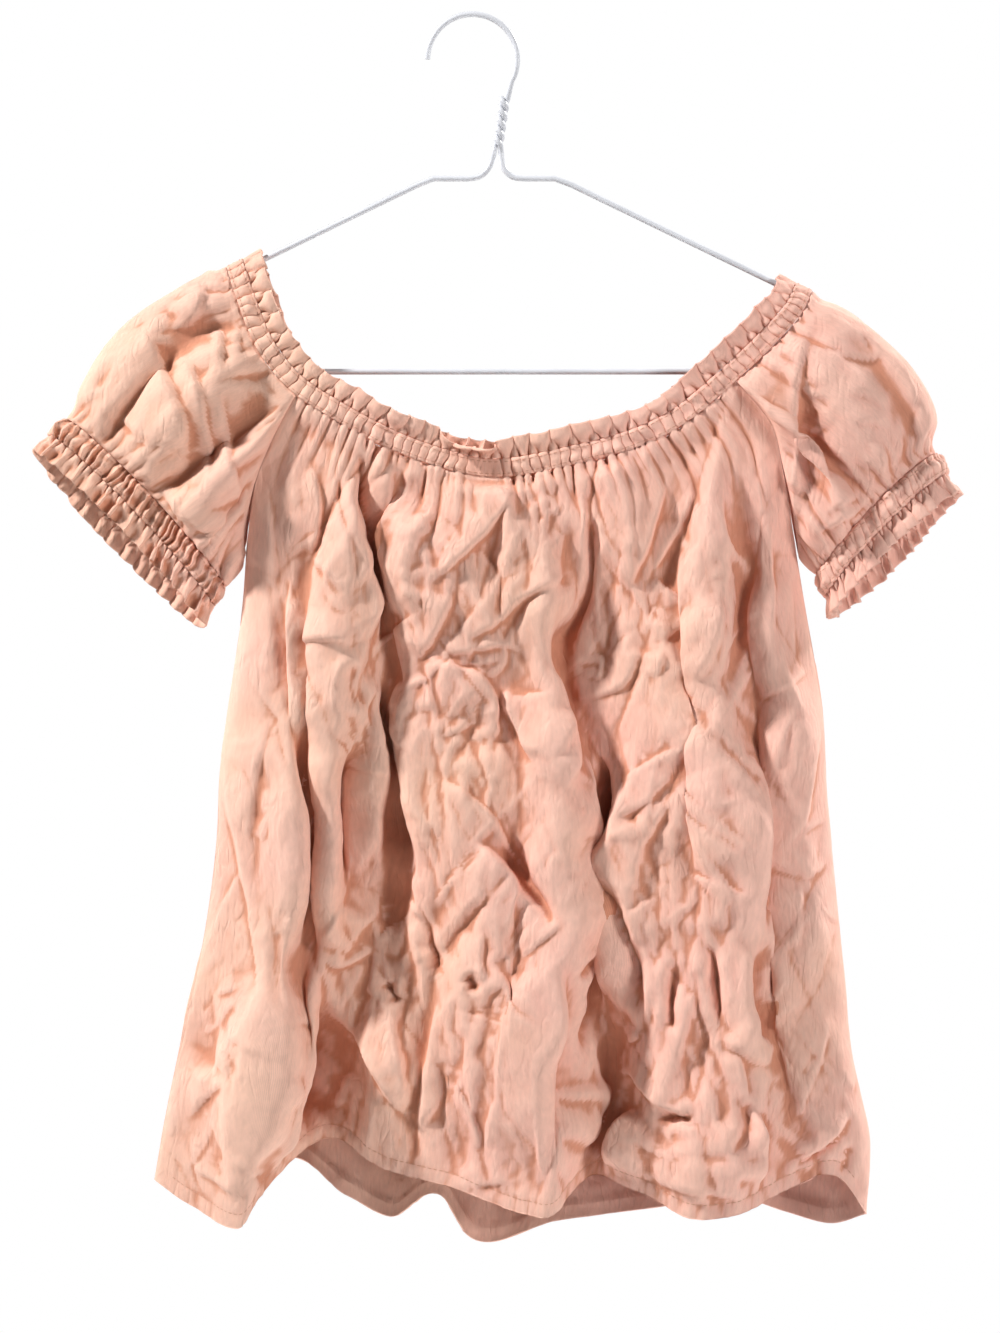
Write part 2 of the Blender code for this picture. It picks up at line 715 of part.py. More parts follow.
def build_hanger(cover):
    """One wire: hook, down the twist, left arm, bar, right arm and up the twist again."""
    angles = np.radians(np.linspace(HOOK_OPEN_ANGLE, HOOK_STEM_ANGLE, 18))
    hook = [
        (HOOK_CENTRE[0] + HOOK_RADIUS * math.cos(a), 0.0, HOOK_CENTRE[1] + HOOK_RADIUS * math.sin(a))
        for a in angles
    ]
    down = twist_strand(0.0)
    up = twist_strand(math.pi)[::-1]
    left = arm_points(ARM_START_LEFT, ARM_LENGTH_LEFT, -1)
    right = arm_points(ARM_START_RIGHT, ARM_LENGTH_RIGHT, 1)
    shelf = ARM_START_LEFT[1] + 2.0
    neck_left = [(8.0, -87.0), (3.0, -92.0), (-4.0, shelf), (-24.0, shelf)]
    neck_right = [(17.0, -88.0), (22.0, -92.5), (29.0, shelf), (46.0, shelf)]
    bar = [(left[-1][0] + (right[-1][0] - left[-1][0]) * share, BAR_Z) for share in (0.25, 0.5, 0.75)]
    flat = neck_left + left + bar + right[::-1] + neck_right[::-1]
    route = hook + [tuple(p) for p in down] + [(x, 0.0, z) for x, z in flat] + [tuple(p) for p in up]
    curve = bpy.data.curves.new("hanger", "CURVE")
    curve.dimensions = "3D"
    curve.bevel_depth = WIRE / 2 * MM
    curve.bevel_resolution = WIRE_BEVEL_RESOLUTION
    curve.use_fill_caps = True
    spline = curve.splines.new("POLY")
    spline.points.add(len(route) - 1)
    for knot, place in zip(spline.points, route):
        knot.co = (place[0] * MM, place[1] * MM, place[2] * MM, 1.0)
    curve.materials.append(cover)
    made = bpy.data.objects.new("hanger", curve)
    bpy.context.scene.collection.objects.link(made)
    return made


def main():
    clear_scene()
    cloth = material("peach_cloth", CLOTH_COLOUR, CLOTH_ROUGHNESS)
    wire = material("white_wire", WIRE_COLOUR, WIRE_ROUGHNESS)
    build_hanger(wire)

    ring = NeckRing()
    front, back = Panel(ring, True), Panel(ring, False)
    build_panel("front", front, FRONT_COLUMNS, FRONT_ROWS, cloth)
    build_panel("back", back, BACK_COLUMNS, BACK_ROWS, cloth)

    right_shoulder = ring.known[ring.half]
    shoulders = (0.0, right_shoulder)
    band("neck_casing", ring, -NECK_CASING, -SEAM_GAP / 2, NECK_CASING_WAVES, CASING_HEIGHT,
         CASING_HEIGHT, cloth, shoulders)
    band("neck_ruffle", ring, SEAM_GAP / 2, NECK_RUFFLE, NECK_RUFFLE_WAVES, CASING_HEIGHT,
         NECK_RUFFLE_HEIGHT, cloth, shoulders)

    sides = (
        ("left", front.left, back.left, SLEEVE_TOP_LEFT, CUFF_LOW_LEFT, CUFF_AWAY_LEFT,
         FOLDS_SLEEVE_LEFT, 0.0),
        ("right", front.right, back.right, SLEEVE_TOP_RIGHT, CUFF_LOW_RIGHT, CUFF_AWAY_RIGHT,
         FOLDS_SLEEVE_RIGHT, right_shoulder),
    )
    for side, front_seam, back_seam, outline, low, away, folds, shoulder in sides:
        cuff = CuffRing(outline[-1], low, away)
        build_sleeve("sleeve_" + side, Sleeve(ring, front_seam, back_seam, outline, cuff, folds, shoulder),
                     cloth)
        casing_end = SEAM_GAP + CUFF_CASING
        ruffle_start = casing_end + SEAM_GAP
        band("cuff_casing_" + side, cuff, SEAM_GAP, casing_end, CUFF_CASING_WAVES, CASING_HEIGHT,
             CASING_HEIGHT, cloth)
        band("cuff_ruffle_" + side, cuff, ruffle_start, ruffle_start + CUFF_RUFFLE, CUFF_RUFFLE_WAVES,
             CASING_HEIGHT, CUFF_RUFFLE_HEIGHT, cloth)


main()
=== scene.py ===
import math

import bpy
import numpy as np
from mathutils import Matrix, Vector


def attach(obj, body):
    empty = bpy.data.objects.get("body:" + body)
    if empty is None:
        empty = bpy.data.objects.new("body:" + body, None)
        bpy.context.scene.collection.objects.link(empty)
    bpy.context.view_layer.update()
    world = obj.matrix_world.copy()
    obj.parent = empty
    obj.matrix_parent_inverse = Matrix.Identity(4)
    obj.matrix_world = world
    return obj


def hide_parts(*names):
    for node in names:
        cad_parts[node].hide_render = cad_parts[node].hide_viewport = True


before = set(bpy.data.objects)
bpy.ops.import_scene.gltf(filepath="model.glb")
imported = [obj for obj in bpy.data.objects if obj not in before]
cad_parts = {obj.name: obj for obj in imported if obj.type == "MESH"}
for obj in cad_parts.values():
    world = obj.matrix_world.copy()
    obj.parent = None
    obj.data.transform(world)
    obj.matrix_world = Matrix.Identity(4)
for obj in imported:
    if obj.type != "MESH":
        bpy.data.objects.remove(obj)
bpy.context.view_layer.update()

# Off-shoulder top of crumpled peach cloth on a white wire hanger.
# Sizes are in millimetres until a mesh is made. The origin is where the hook rests, +X is to the right as
# seen from the front, +Y goes to the back and +Z is up. Each piece of cloth is worked out as a grid of
# points on its middle surface: columns run round the garment, rows run from the neck down.

bl_info = {
    "name": "Off-shoulder Top",
    "version": (1, 0, 0),
    "blender": (4, 5, 0),
    "location": "View3D > Sidebar > Garment",
    "description": "Builds a crumpled off-shoulder top on a wire hanger",
    "category": "Add Mesh",
}

MM = 0.001

# Photo frame: the image is 1000 by 1333 pixels, and one pixel is this many millimetres at the hanger
PHOTO_WIDTH, PHOTO_HEIGHT = 1000, 1333
PHOTO_SCALE = 0.578
PHOTO_ORIGIN = (475, 17)
SENSOR_HEIGHT = 32.0

# Wire hanger
WIRE = 3.4
HOOK_RADIUS = 26.0
HOOK_CENTRE = (-1.5, WIRE / 2 - HOOK_RADIUS)
HOOK_OPEN_ANGLE = 180.0
HOOK_STEM_ANGLE = -30.0
TWIST_TOP = (17.0, -47.0)
TWIST_FOOT = (13.0, -75.0)
TWIST_TURNS = 2.5
TWIST_GAP = 0.1
ARM_SLOPE = math.radians(25.85)
ARM_START_LEFT = (-30.0, -95.4)
ARM_START_RIGHT = (52.6, -95.4)
ARM_LENGTH_LEFT = 178.0
ARM_LENGTH_RIGHT = 180.0
ARM_STEPS = (0.02, 0.2, 0.4, 0.6, 0.8, 1.0)
BAR_Z = -205.0
BAR_STEPS = (0.25, 0.5, 0.75)
CORNER_REACH = 8.0
# How the wire leaves the foot of the twist for each arm, in x and z, and where it meets the arm
SHELF_Z = ARM_START_LEFT[1] + 2.0
BEND_LEFT = ((11.1, -78.0), (8.0, -87.0), (3.0, -92.0), (-4.0, SHELF_Z))
BEND_RIGHT = ((14.9, -78.0), (17.0, -88.0), (22.0, -92.5), (29.0, SHELF_Z))
SHELF_END_LEFT = (-24.0, SHELF_Z)
SHELF_END_RIGHT = (46.0, SHELF_Z)

# Gathered bands
SEAM_GAP = 0.3
NECK_CASING = 10.5
NECK_RUFFLE = 12.0
CUFF_CASING = 13.0
CUFF_RUFFLE = 13.0

# The turned-up hem: its width, how much thicker it is, and the rows of the grid across it as shares
HEM = 8.5
HEM_THICKER = 0.8
HEM_ROWS = (0.12, 0.5, 0.88, 1.0)

# The neck seam in the front view, from the left shoulder to the right one
NECK_LINE = (
    # x, z
    (-134, -140),
    (-128, -158),
    (-112, -194),
    (-100, -208),
    (-76, -224),
    (-26, -248),
    (8, -256),
    (50, -250),
    (110, -230),
    (140, -206),
    (166, -181),
    (180, -165),
    (185, -154),
)
NECK_DEPTH = 30.0
NECK_FLATTEN_FRONT = 0.40
NECK_FLATTEN_BACK = 0.60
RAGLAN_LEFT = 0.20
RAGLAN_RIGHT = 0.84

# Raglan seam and side seam in the front view, below their start at the neck
EDGE_LEFT = (
    # x, z
    (-115, -243),
    (-126, -270),
    (-131, -302),
    (-134, -339),
    (-137, -365),
    (-143, -405),
    (-147, -434),
    (-149, -475),
    (-153, -510),
    (-159, -545),
    (-166, -574),
    (-172, -603),
    (-178, -632),
    (-185, -672),
)
EDGE_RIGHT = (
    # x, z
    (171, -238),
    (177, -262),
    (184, -302),
    (191, -344),
    (196, -372),
    (201, -406),
    (203, -446),
    (206, -481),
    (210, -522),
    (214, -562),
    (217, -597),
    (222, -620),
    (227, -645),
    (226, -692),
)
UNDERARM = 0.22
BODY_SWELL = 5.0

# Hems: where the bottom edge runs, with its depth before or behind the hanger
HEM_FRONT = (
    # share of width, x, z, depth
    (0.00, -185, -672, 16),
    (0.06, -163, -685, 24),
    (0.13, -131, -693, 44),
    (0.16, -124, -680, 30),
    (0.23, -88, -649, 10),
    (0.32, -52, -664, 18),
    (0.42, -12, -674, 26),
    (0.52, 28, -687, 38),
    (0.57, 45, -687, 40),
    (0.62, 66, -668, 16),
    (0.68, 92, -674, 24),
    (0.76, 125, -689, 38),
    (0.83, 156, -685, 37),
    (0.90, 186, -672, 22),
    (0.95, 207, -668, 20),
    (1.00, 226, -692, 16),
)
HEM_BACK = (
    # share of width, x, z, depth
    (0.00, -185, -672, 12),
    (0.08, -155, -668, 12),
    (0.20, -102, -662, 17),
    (0.28, -75, -681, 9),
    (0.34, -50, -695, 20),
    (0.42, -20, -682, 10),
    (0.47, -3, -706, 21),
    (0.58, 48, -697, 16),
    (0.70, 105, -690, 19),
    (0.80, 150, -683, 12),
    (0.87, 180, -692, 19),
    (0.94, 207, -698, 14),
    (1.00, 226, -692, 12),
)

# Large folds: where each lies across the width at its top, middle and foot, the stretch of height that it
# takes, its half width and how far it stands out. A negative height is a trough.
FOLDS_FRONT = (
    # top, middle, foot, from, to, half width, height
    (0.03, 0.07, 0.08, -0.10, 1.10, 20, 10),
    (0.09, 0.15, 0.19, 0.12, 0.88, 7, -15),
    (0.17, 0.21, 0.25, -0.10, 0.80, 13, 8),
    (0.25, 0.29, 0.31, -0.10, 0.76, 8, -11),
    (0.36, 0.40, 0.41, -0.10, 0.90, 22, 7),
    (0.47, 0.49, 0.47, 0.10, 0.80, 10, -6),
    (0.52, 0.53, 0.55, -0.10, 1.10, 17, 8),
    (0.58, 0.60, 0.68, 0.02, 0.96, 9, -14),
    (0.70, 0.69, 0.74, -0.10, 1.00, 18, 7),
    (0.78, 0.77, 0.80, 0.05, 0.62, 8, -9),
    (0.85, 0.82, 0.83, -0.10, 1.00, 15, 7),
    (0.91, 0.87, 0.89, 0.05, 0.95, 8, -13),
    (0.96, 0.94, 0.95, -0.10, 0.90, 14, 8),
)
FOLDS_BACK = (
    # top, middle, foot, from, to, half width, height
    (0.08, 0.12, 0.14, -0.10, 1.00, 18, 6),
    (0.18, 0.20, 0.24, 0.00, 0.90, 10, -8),
    (0.29, 0.30, 0.31, -0.10, 1.00, 18, 6),
    (0.40, 0.40, 0.42, 0.00, 1.00, 12, -8),
    (0.50, 0.52, 0.54, -0.10, 1.00, 20, 6),
    (0.61, 0.63, 0.66, 0.00, 0.95, 10, -8),
    (0.71, 0.73, 0.76, -0.10, 1.00, 18, 6),
    (0.82, 0.83, 0.84, 0.05, 0.95, 10, -8),
    (0.92, 0.91, 0.90, -0.10, 1.00, 16, 6),
)

# Sleeves
SLEEVE_TOP_LEFT = (
    # x, z
    (-143, -145),
    (-157, -151),
    (-175, -160),
    (-195, -173),
    (-210, -188),
    (-225, -212),
    (-236, -233),
)
SLEEVE_TOP_RIGHT = (
    # x, z
    (194, -159),
    (201, -163),
    (218, -172),
    (235, -186),
    (253, -206),
    (265, -228),
    (266, -253),
)
CUFF_LOW_LEFT = (-145, -329)
CUFF_LOW_RIGHT = (199, -322)
CUFF_AWAY_LEFT = ((-0.69, -0.73), (-0.50, -0.87))
CUFF_AWAY_RIGHT = ((0.49, -0.87), (0.35, -0.94))
CUFF_DEPTH = 19.0
CUFF_TILT = 6.0
SLEEVE_PUFF = 11.0
OUTLINE_REACH = 0.13
UNDERARM_EASE = 1.6
FOLDS_SLEEVE_LEFT = (
    # share round the sleeve at the neck, middle and cuff, from, to, half width, height
    (0.03, 0.05, 0.06, 0.10, 1.05, 9, 5),
    (0.08, 0.10, 0.12, 0.05, 0.95, 7, -6),
    (0.14, 0.17, 0.19, -0.10, 1.05, 10, 7),
    (0.20, 0.24, 0.26, 0.10, 0.95, 7, -6),
    (0.28, 0.31, 0.33, -0.10, 1.05, 10, 6),
    (0.38, 0.38, 0.40, 0.10, 0.90, 7, -5),
    (0.66, 0.66, 0.66, 0.05, 0.95, 10, 4),
    (0.76, 0.76, 0.75, 0.05, 0.95, 8, -5),
    (0.86, 0.86, 0.84, 0.05, 0.95, 10, 5),
)
FOLDS_SLEEVE_RIGHT = (
    # share round the sleeve at the neck, middle and cuff, from, to, half width, height
    (0.20, 0.27, 0.36, -0.10, 1.05, 10, 6),
    (0.14, 0.21, 0.29, 0.05, 1.05, 9, -4),
    (0.08, 0.13, 0.18, 0.05, 1.05, 12, 5),
    (0.03, 0.06, 0.08, 0.20, 0.95, 7, -4),
    (0.66, 0.66, 0.66, 0.05, 0.95, 10, 4),
    (0.76, 0.76, 0.75, 0.05, 0.95, 8, -5),
    (0.86, 0.86, 0.84, 0.05, 0.95, 10, 5),
)

# Creases on the front, listed one by one. Each route is in pixels of the photo. Width and height are in
# millimetres. An edge falls steeply on one side of its route and gently on the other: on a route that
# runs down the picture, "right" has its steep side on the right. A slit is a narrow trough and a swell
# is a soft ridge, or a soft trough where its height is negative.
FRONT_CREASES = (
    # kind, gentle width, height, route
    ("left", 14, 6.3, ((300, 560), (293, 600), (293, 645), (302, 711), (310, 770))),
    ("left", 12, 9.6, ((304, 700), (316, 790), (321, 837), (319, 900), (318, 955), (312, 985))),
    ("slit", 3.4, 10.0, ((300, 690), (311, 765), (318, 837), (317, 900), (316, 960), (310, 1010))),
    ("swell", 13, -4.8, ((282, 600), (286, 680), (292, 730), (298, 790))),
    ("right", 15, 4.8, ((269, 705), (265, 745), (257, 780), (252, 822), (246, 858))),
    ("right", 7, 1.2, ((284, 805), (287, 850), (297, 890))),
    ("right", 16, 2.8, ((264, 880), (268, 930), (269, 970), (283, 1046))),
    ("left", 14, 2.2, ((251, 850), (233, 886), (212, 932), (204, 990))),
    ("right", 10, 1.7, ((256, 560), (268, 620), (273, 690))),
    ("right", 26, 19.0, ((318, 930), (313, 971), (305, 1010), (295, 1065), (286, 1094), (281, 1122),
                         (273, 1174), (266, 1200))),
    ("swell", 16, -16.0, ((326, 985), (322, 1030), (312, 1080), (303, 1120), (298, 1160))),
    ("left", 10, 2.2, ((322, 952), (338, 963), (377, 946))),
    ("left", 18, 6.3, ((316, 1006), (344, 1018), (369, 1045), (383, 1066), (400, 1098), (416, 1128))),
    ("right", 8, 2.2, ((305, 1002), (312, 1030), (323, 1060))),
    ("left", 8, 2.2, ((352, 1066), (346, 1085), (336, 1114))),
    ("right", 14, 3.4, ((388, 1000), (396, 1043), (405, 1090), (410, 1120))),
    ("left", 14, 3.4, ((441, 985), (434, 1037), (427, 1086), (421, 1128), (420, 1160))),
    ("right", 8, 2.2, ((402, 915), (397, 940), (392, 962))),
    ("right", 8, 2.2, ((407, 918), (415, 942), (424, 968))),
    ("right", 12, 4.8, ((390, 894), (410, 905), (422, 925), (431, 957), (452, 972))),
    ("slit", 2.1, 4.6, ((404, 905), (420, 920), (430, 950), (440, 966), (454, 973))),
    ("slit", 1.9, 3.4, ((466, 968), (474, 976), (479, 992))),
    ("slit", 1.9, 3.4, ((383, 976), (390, 990), (397, 1006))),
    ("right", 12, 2.8, ((483, 920), (480, 960), (486, 985))),
    ("right", 16, 3.4, ((484, 952), (502, 980), (520, 1006), (548, 1030))),
    ("right", 22, 13.5, ((549, 915), (549, 960), (548, 1030), (538, 1055), (536, 1092), (538, 1141),
                         (542, 1188))),
    ("swell", 9, -6.3, ((560, 940), (562, 1000), (564, 1060), (560, 1110), (562, 1160))),
    ("right", 10, 2.2, ((444, 1068), (462, 1092), (475, 1119), (482, 1160))),
    ("right", 6, 1.2, ((459, 1056), (461, 1074), (463, 1090))),
    ("left", 6, 1.2, ((524, 1110), (537, 1097), (553, 1111))),
    ("left", 9, 1.8, ((444, 1181), (486, 1176), (516, 1170))),
    ("left", 9, 2.8, ((299, 647), (325, 636), (345, 640), (352, 650))),
    ("right", 9, 2.8, ((302, 648), (312, 672), (320, 700), (322, 735))),
    ("right", 9, 2.2, ((345, 640), (352, 660), (351, 693), (358, 714), (362, 732))),
    ("right", 11, 3.4, ((374, 668), (370, 690), (362, 714), (372, 734), (380, 740))),
    ("slit", 2.5, 4.6, ((352, 655), (349, 690), (356, 716))),
    ("slit", 2.9, 8.0, ((361, 716), (355, 760), (354, 800), (353, 840), (351, 880), (350, 918))),
    ("left", 12, 4.8, ((362, 740), (358, 780), (357, 830), (355, 890))),
    ("left", 12, 3.4, ((352, 895), (338, 920), (322, 950))),
    ("right", 10, 2.2, ((340, 740), (330, 780), (322, 830))),
    ("slit", 3.4, 9.2, ((350, 420), (360, 453), (368, 501), (377, 549), (388, 607), (390, 640), (388, 668))),
    ("left", 12, 6.3, ((412, 476), (397, 508), (388, 560), (391, 620), (393, 653))),
    ("left", 14, 6.3, ((392, 650), (394, 700), (402, 771), (405, 843), (402, 880))),
    ("slit", 3.0, 6.9, ((386, 655), (388, 700), (397, 760), (400, 820), (402, 868), (396, 888))),
    ("swell", 6, 3.4, ((374, 640), (380, 700), (378, 750), (386, 790), (383, 850), (385, 892))),
    ("swell", 16, 4.8, ((424, 479), (416, 549), (412, 640))),
    ("right", 12, 3.4, ((455, 585), (440, 622), (417, 665))),
    ("right", 14, 3.4, ((503, 508), (478, 536), (446, 568), (427, 590))),
    ("right", 15, 3.4, ((576, 565), (538, 586), (490, 622), (452, 648))),
    ("right", 10, 2.2, ((520, 488), (495, 520), (470, 546))),
    ("left", 8, 2.2, ((430, 655), (470, 648), (512, 645), (534, 657))),
    ("left", 7, 1.2, ((440, 664), (475, 662), (508, 656))),
    ("right", 12, 4.1, ((417, 665), (448, 668), (474, 677), (491, 700), (494, 736))),
    ("right", 9, 2.2, ((417, 665), (428, 690), (436, 716))),
    ("left", 9, 1.7, ((417, 668), (410, 700), (408, 740))),
    ("right", 7, 1.4, ((482, 718), (460, 726), (437, 738))),
    ("swell", 14, -3.4, ((450, 690), (468, 730), (478, 770))),
    ("right", 12, 3.4, ((422, 774), (440, 780), (470, 800), (490, 820), (500, 838), (532, 880))),
    ("left", 18, 7.9, ((560, 922), (549, 920), (523, 896), (494, 864), (474, 843), (460, 836))),
    ("swell", 7, -6.3, ((484, 826), (506, 852), (530, 888), (553, 920), (566, 936))),
    ("right", 14, 9.6, ((577, 475), (578, 520), (577, 567), (570, 610), (561, 655))),
    ("right", 12, 7.9, ((561, 645), (562, 694), (565, 745), (560, 780), (552, 800))),
    ("swell", 6, -6.3, ((584, 490), (582, 560), (576, 607), (567, 645), (571, 690), (573, 730), (571, 770))),
    ("left", 12, 3.4, ((586, 570), (582, 620), (578, 660), (583, 700), (578, 740))),
    ("right", 12, 6.3, ((590, 735), (593, 770), (594, 800), (594, 831), (599, 860))),
    ("slit", 3.4, 9.2, ((598, 745), (601, 790), (602, 830), (606, 862))),
    ("right", 12, 4.8, ((600, 855), (613, 889), (621, 923), (627, 952), (634, 990), (642, 1038))),
    ("slit", 2.4, 5.8, ((604, 862), (618, 895), (626, 930), (631, 957), (635, 1000), (642, 1036))),
    ("left", 12, 4.8, ((511, 676), (507, 694), (520, 724), (534, 750), (544, 770))),
    ("right", 7, 2.2, ((493, 697), (492, 716), (497, 740))),
    ("right", 9, 2.2, ((564, 700), (556, 740), (545, 765))),
    ("right", 14, 3.4, ((668, 470), (656, 505), (643, 546), (626, 582), (616, 614))),
    ("right", 12, 2.2, ((693, 480), (674, 528), (660, 556), (644, 584))),
    ("right", 10, 2.8, ((718, 480), (717, 511), (722, 546), (740, 563), (741, 604))),
    ("right", 6, 2.2, ((650, 575), (662, 590), (680, 610))),
    ("left", 6, 1.2, ((660, 600), (650, 622), (655, 640))),
    ("right", 8, 2.2, ((657, 646), (655, 664), (650, 682))),
    ("right", 7, 1.7, ((598, 650), (598, 668), (594, 684))),
    ("right", 16, 6.3, ((712, 585), (710, 636), (698, 679), (694, 697))),
    ("right", 14, 4.8, ((695, 694), (703, 734), (724, 768), (738, 805))),
    ("swell", 7, -4.8, ((742, 545), (742, 622), (734, 671), (722, 715))),
    ("left", 12, 3.4, ((750, 560), (750, 622), (741, 671), (730, 711))),
    ("right", 14, 6.3, ((748, 750), (747, 808), (748, 845), (747, 909), (751, 955))),
    ("slit", 2.5, 6.9, ((751, 760), (751, 808), (753, 850), (750, 905), (755, 950))),
    ("right", 12, 3.4, ((690, 684), (681, 726), (671, 762))),
    ("right", 12, 2.8, ((671, 764), (697, 797), (720, 832), (745, 870))),
    ("right", 14, 2.8, ((672, 770), (690, 808), (722, 852), (747, 895))),
    ("right", 10, 2.2, ((668, 764), (655, 786), (637, 804), (612, 816))),
    ("right", 12, 2.8, ((664, 790), (651, 823), (636, 853))),
    ("right", 12, 2.2, ((674, 869), (705, 880), (748, 904))),
    ("right", 9, 2.2, ((700, 820), (708, 860), (730, 900))),
    ("slit", 2.1, 5.2, ((697, 926), (706, 952), (711, 985), (716, 1030))),
    ("right", 10, 2.8, ((696, 926), (704, 952), (709, 985), (714, 1030))),
    ("slit", 2.0, 4.0, ((672, 950), (669, 986), (670, 1037))),
    ("slit", 2.2, 5.8, ((609, 930), (597, 965), (592, 1015), (581, 1064))),
    ("left", 10, 3.4, ((612, 935), (600, 970), (596, 1015), (586, 1060))),
    ("slit", 2.0, 3.4, ((588, 950), (582, 965), (575, 979))),
    ("right", 7, 1.7, ((648, 972), (646, 1000), (645, 1030))),
    ("left", 14, 4.8, ((716, 1026), (735, 1040), (752, 1052), (770, 1060))),
    ("slit", 2.7, 6.9, ((756, 925), (752, 986), (758, 1023), (769, 1057))),
    ("slit", 2.4, 4.6, ((766, 950), (766, 975), (770, 1005))),
    ("right", 8, 2.2, ((727, 1036), (737, 1070), (744, 1104))),
    ("left", 12, 3.4, ((602, 1072), (634, 1070), (647, 1084), (668, 1098), (690, 1108), (720, 1116))),
    ("right", 14, 6.3, ((603, 1066), (604, 1092), (590, 1125), (574, 1152))),
    ("swell", 9, -3.4, ((612, 1090), (600, 1130), (588, 1160))),
    ("left", 18, 7.9, ((640, 1100), (618, 1136), (615, 1153), (602, 1176))),
    ("slit", 2.0, 2.9, ((650, 1116), (674, 1110), (700, 1107))),
    ("slit", 2.0, 2.9, ((747, 1086), (741, 1122), (723, 1152))),
    ("right", 22, 7.9, ((748, 1095), (754, 1144), (751, 1188))),
    ("left", 10, 2.8, ((637, 1165), (680, 1177), (723, 1183), (752, 1184))),
    ("right", 10, 4.8, ((848, 1100), (826, 1128), (802, 1150), (786, 1160))),
    ("slit", 2.2, 4.6, ((786, 1166), (803, 1155), (830, 1138), (843, 1140))),
    ("slit", 2.2, 4.6, ((790, 1180), (812, 1164), (822, 1150))),
    ("slit", 2.0, 4.0, ((815, 1158), (816, 1172), (812, 1186))),
    ("slit", 2.0, 4.0, ((836, 1140), (843, 1150), (836, 1176))),
    ("right", 8, 2.2, ((810, 1066), (795, 1100), (791, 1120))),
    ("right", 10, 2.2, ((842, 1000), (848, 1050), (846, 1108))),
    ("right", 9, 1.8, ((826, 1008), (815, 1050), (806, 1084))),
    ("right", 9, 1.8, ((772, 1030), (780, 1052), (792, 1074))),
    ("right", 14, 3.4, ((822, 700), (807, 762), (795, 823), (777, 856))),
    ("right", 9, 2.2, ((796, 875), (794, 915), (792, 955))),
    ("left", 7, 1.4, ((792, 835), (815, 820), (830, 818))),
    ("left", 8, 1.6, ((795, 878), (812, 868), (826, 860))),
    ("left", 10, 1.8, ((756, 700), (795, 676), (818, 664))),
    ("right", 10, 2.2, ((790, 700), (778, 740), (772, 780))),
    ("right", 12, 2.2, ((768, 500), (772, 560), (768, 640), (776, 700))),
    ("right", 12, 2.2, ((790, 560), (794, 620), (800, 680))),
    ("right", 14, 3.4, ((277, 436), (270, 455), (259, 472))),
    ("right", 14, 3.4, ((306, 450), (318, 515), (312, 548), (300, 580))),
    ("right", 9, 2.2, ((332, 440), (334, 490), (345, 548), (352, 600))),
    ("left", 9, 1.8, ((305, 552), (330, 570), (350, 600))),
    ("right", 12, 2.2, ((265, 480), (270, 540), (272, 600))),
    ("right", 10, 2.2, ((242, 760), (250, 790), (240, 838))),
    ("left", 7, 1.6, ((190, 1034), (220, 1018), (243, 990))),
    ("right", 7, 1.8, ((223, 1032), (234, 1054), (249, 1072))),
    ("left", 7, 1.8, ((233, 1038), (253, 1034), (264, 1044), (280, 1046))),
    ("left", 10, 2.7, ((182, 1122), (210, 1092), (242, 1071))),
    ("right", 10, 2.2, ((262, 1052), (272, 1075), (285, 1100))),
    ("left", 8, 2.2, ((188, 1160), (220, 1171), (250, 1190))),
    ("left", 8, 1.4, ((234, 1147), (254, 1160), (274, 1170))),
    ("left", 8, 1.8, ((212, 990), (230, 986), (244, 982))),
    ("right", 8, 2.2, ((212, 925), (205, 948), (190, 970))),
    ("right", 8, 2.2, ((172, 1095), (176, 1120), (164, 1142))),
)

# The same for the front side of each sleeve
SLEEVE_CREASES_LEFT = (
    # kind, gentle width, height, route
    ("right", 16, 6.0, ((137, 316), (150, 345), (161, 372), (178, 409), (185, 452), (176, 475))),
    ("swell", 8, -5.0, ((180, 385), (192, 420), (196, 460), (196, 490))),
    ("right", 12, 5.5, ((170, 348), (183, 360), (198, 396), (204, 434), (210, 472), (218, 504))),
    ("right", 11, 4.0, ((217, 380), (223, 428), (235, 485), (243, 515))),
    ("right", 10, 4.0, ((217, 318), (220, 350), (219, 386))),
    ("swell", 7, -4.0, ((176, 300), (171, 325), (170, 350))),
    ("right", 10, 3.5, ((206, 280), (200, 300), (190, 330))),
    ("left", 9, 3.5, ((170, 487), (191, 507), (206, 524), (212, 545), (222, 550))),
    ("left", 7, 3.0, ((158, 484), (176, 500), (194, 522), (204, 540))),
    ("right", 7, 3.0, ((220, 500), (219, 525), (217, 549))),
    ("right", 10, 2.5, ((118, 352), (100, 378), (84, 400))),
    ("left", 8, 2.2, ((73, 410), (92, 396), (108, 388))),
    ("left", 9, 2.2, ((120, 410), (140, 430), (160, 440))),
    ("right", 7, 2.5, ((235, 310), (238, 340), (236, 372))),
)
SLEEVE_CREASES_RIGHT = (
    # kind, gentle width, height, route
    ("right", 9, 6.0, ((818, 298), (801, 346), (792, 388), (790, 440), (792, 500), (800, 560))),
    ("swell", 12, -5.0, ((808, 380), (806, 440), (808, 500), (812, 545))),
    ("left", 9, 1.8, ((824, 352), (850, 358), (872, 359), (882, 342))),
    ("left", 10, 1.8, ((836, 391), (867, 399), (888, 416))),
    ("left", 8, 1.5, ((840, 425), (868, 422), (893, 432))),
    ("right", 7, 2.2, ((936, 440), (924, 452), (914, 460))),
    ("left", 12, 3.0, ((800, 540), (829, 522), (853, 508), (885, 484))),
    ("left", 7, 2.0, ((818, 515), (840, 500), (862, 492))),
    ("right", 10, 2.0, ((880, 340), (905, 385), (915, 420))),
    ("right", 8, 2.0, ((868, 440), (880, 460), (876, 480))),
)

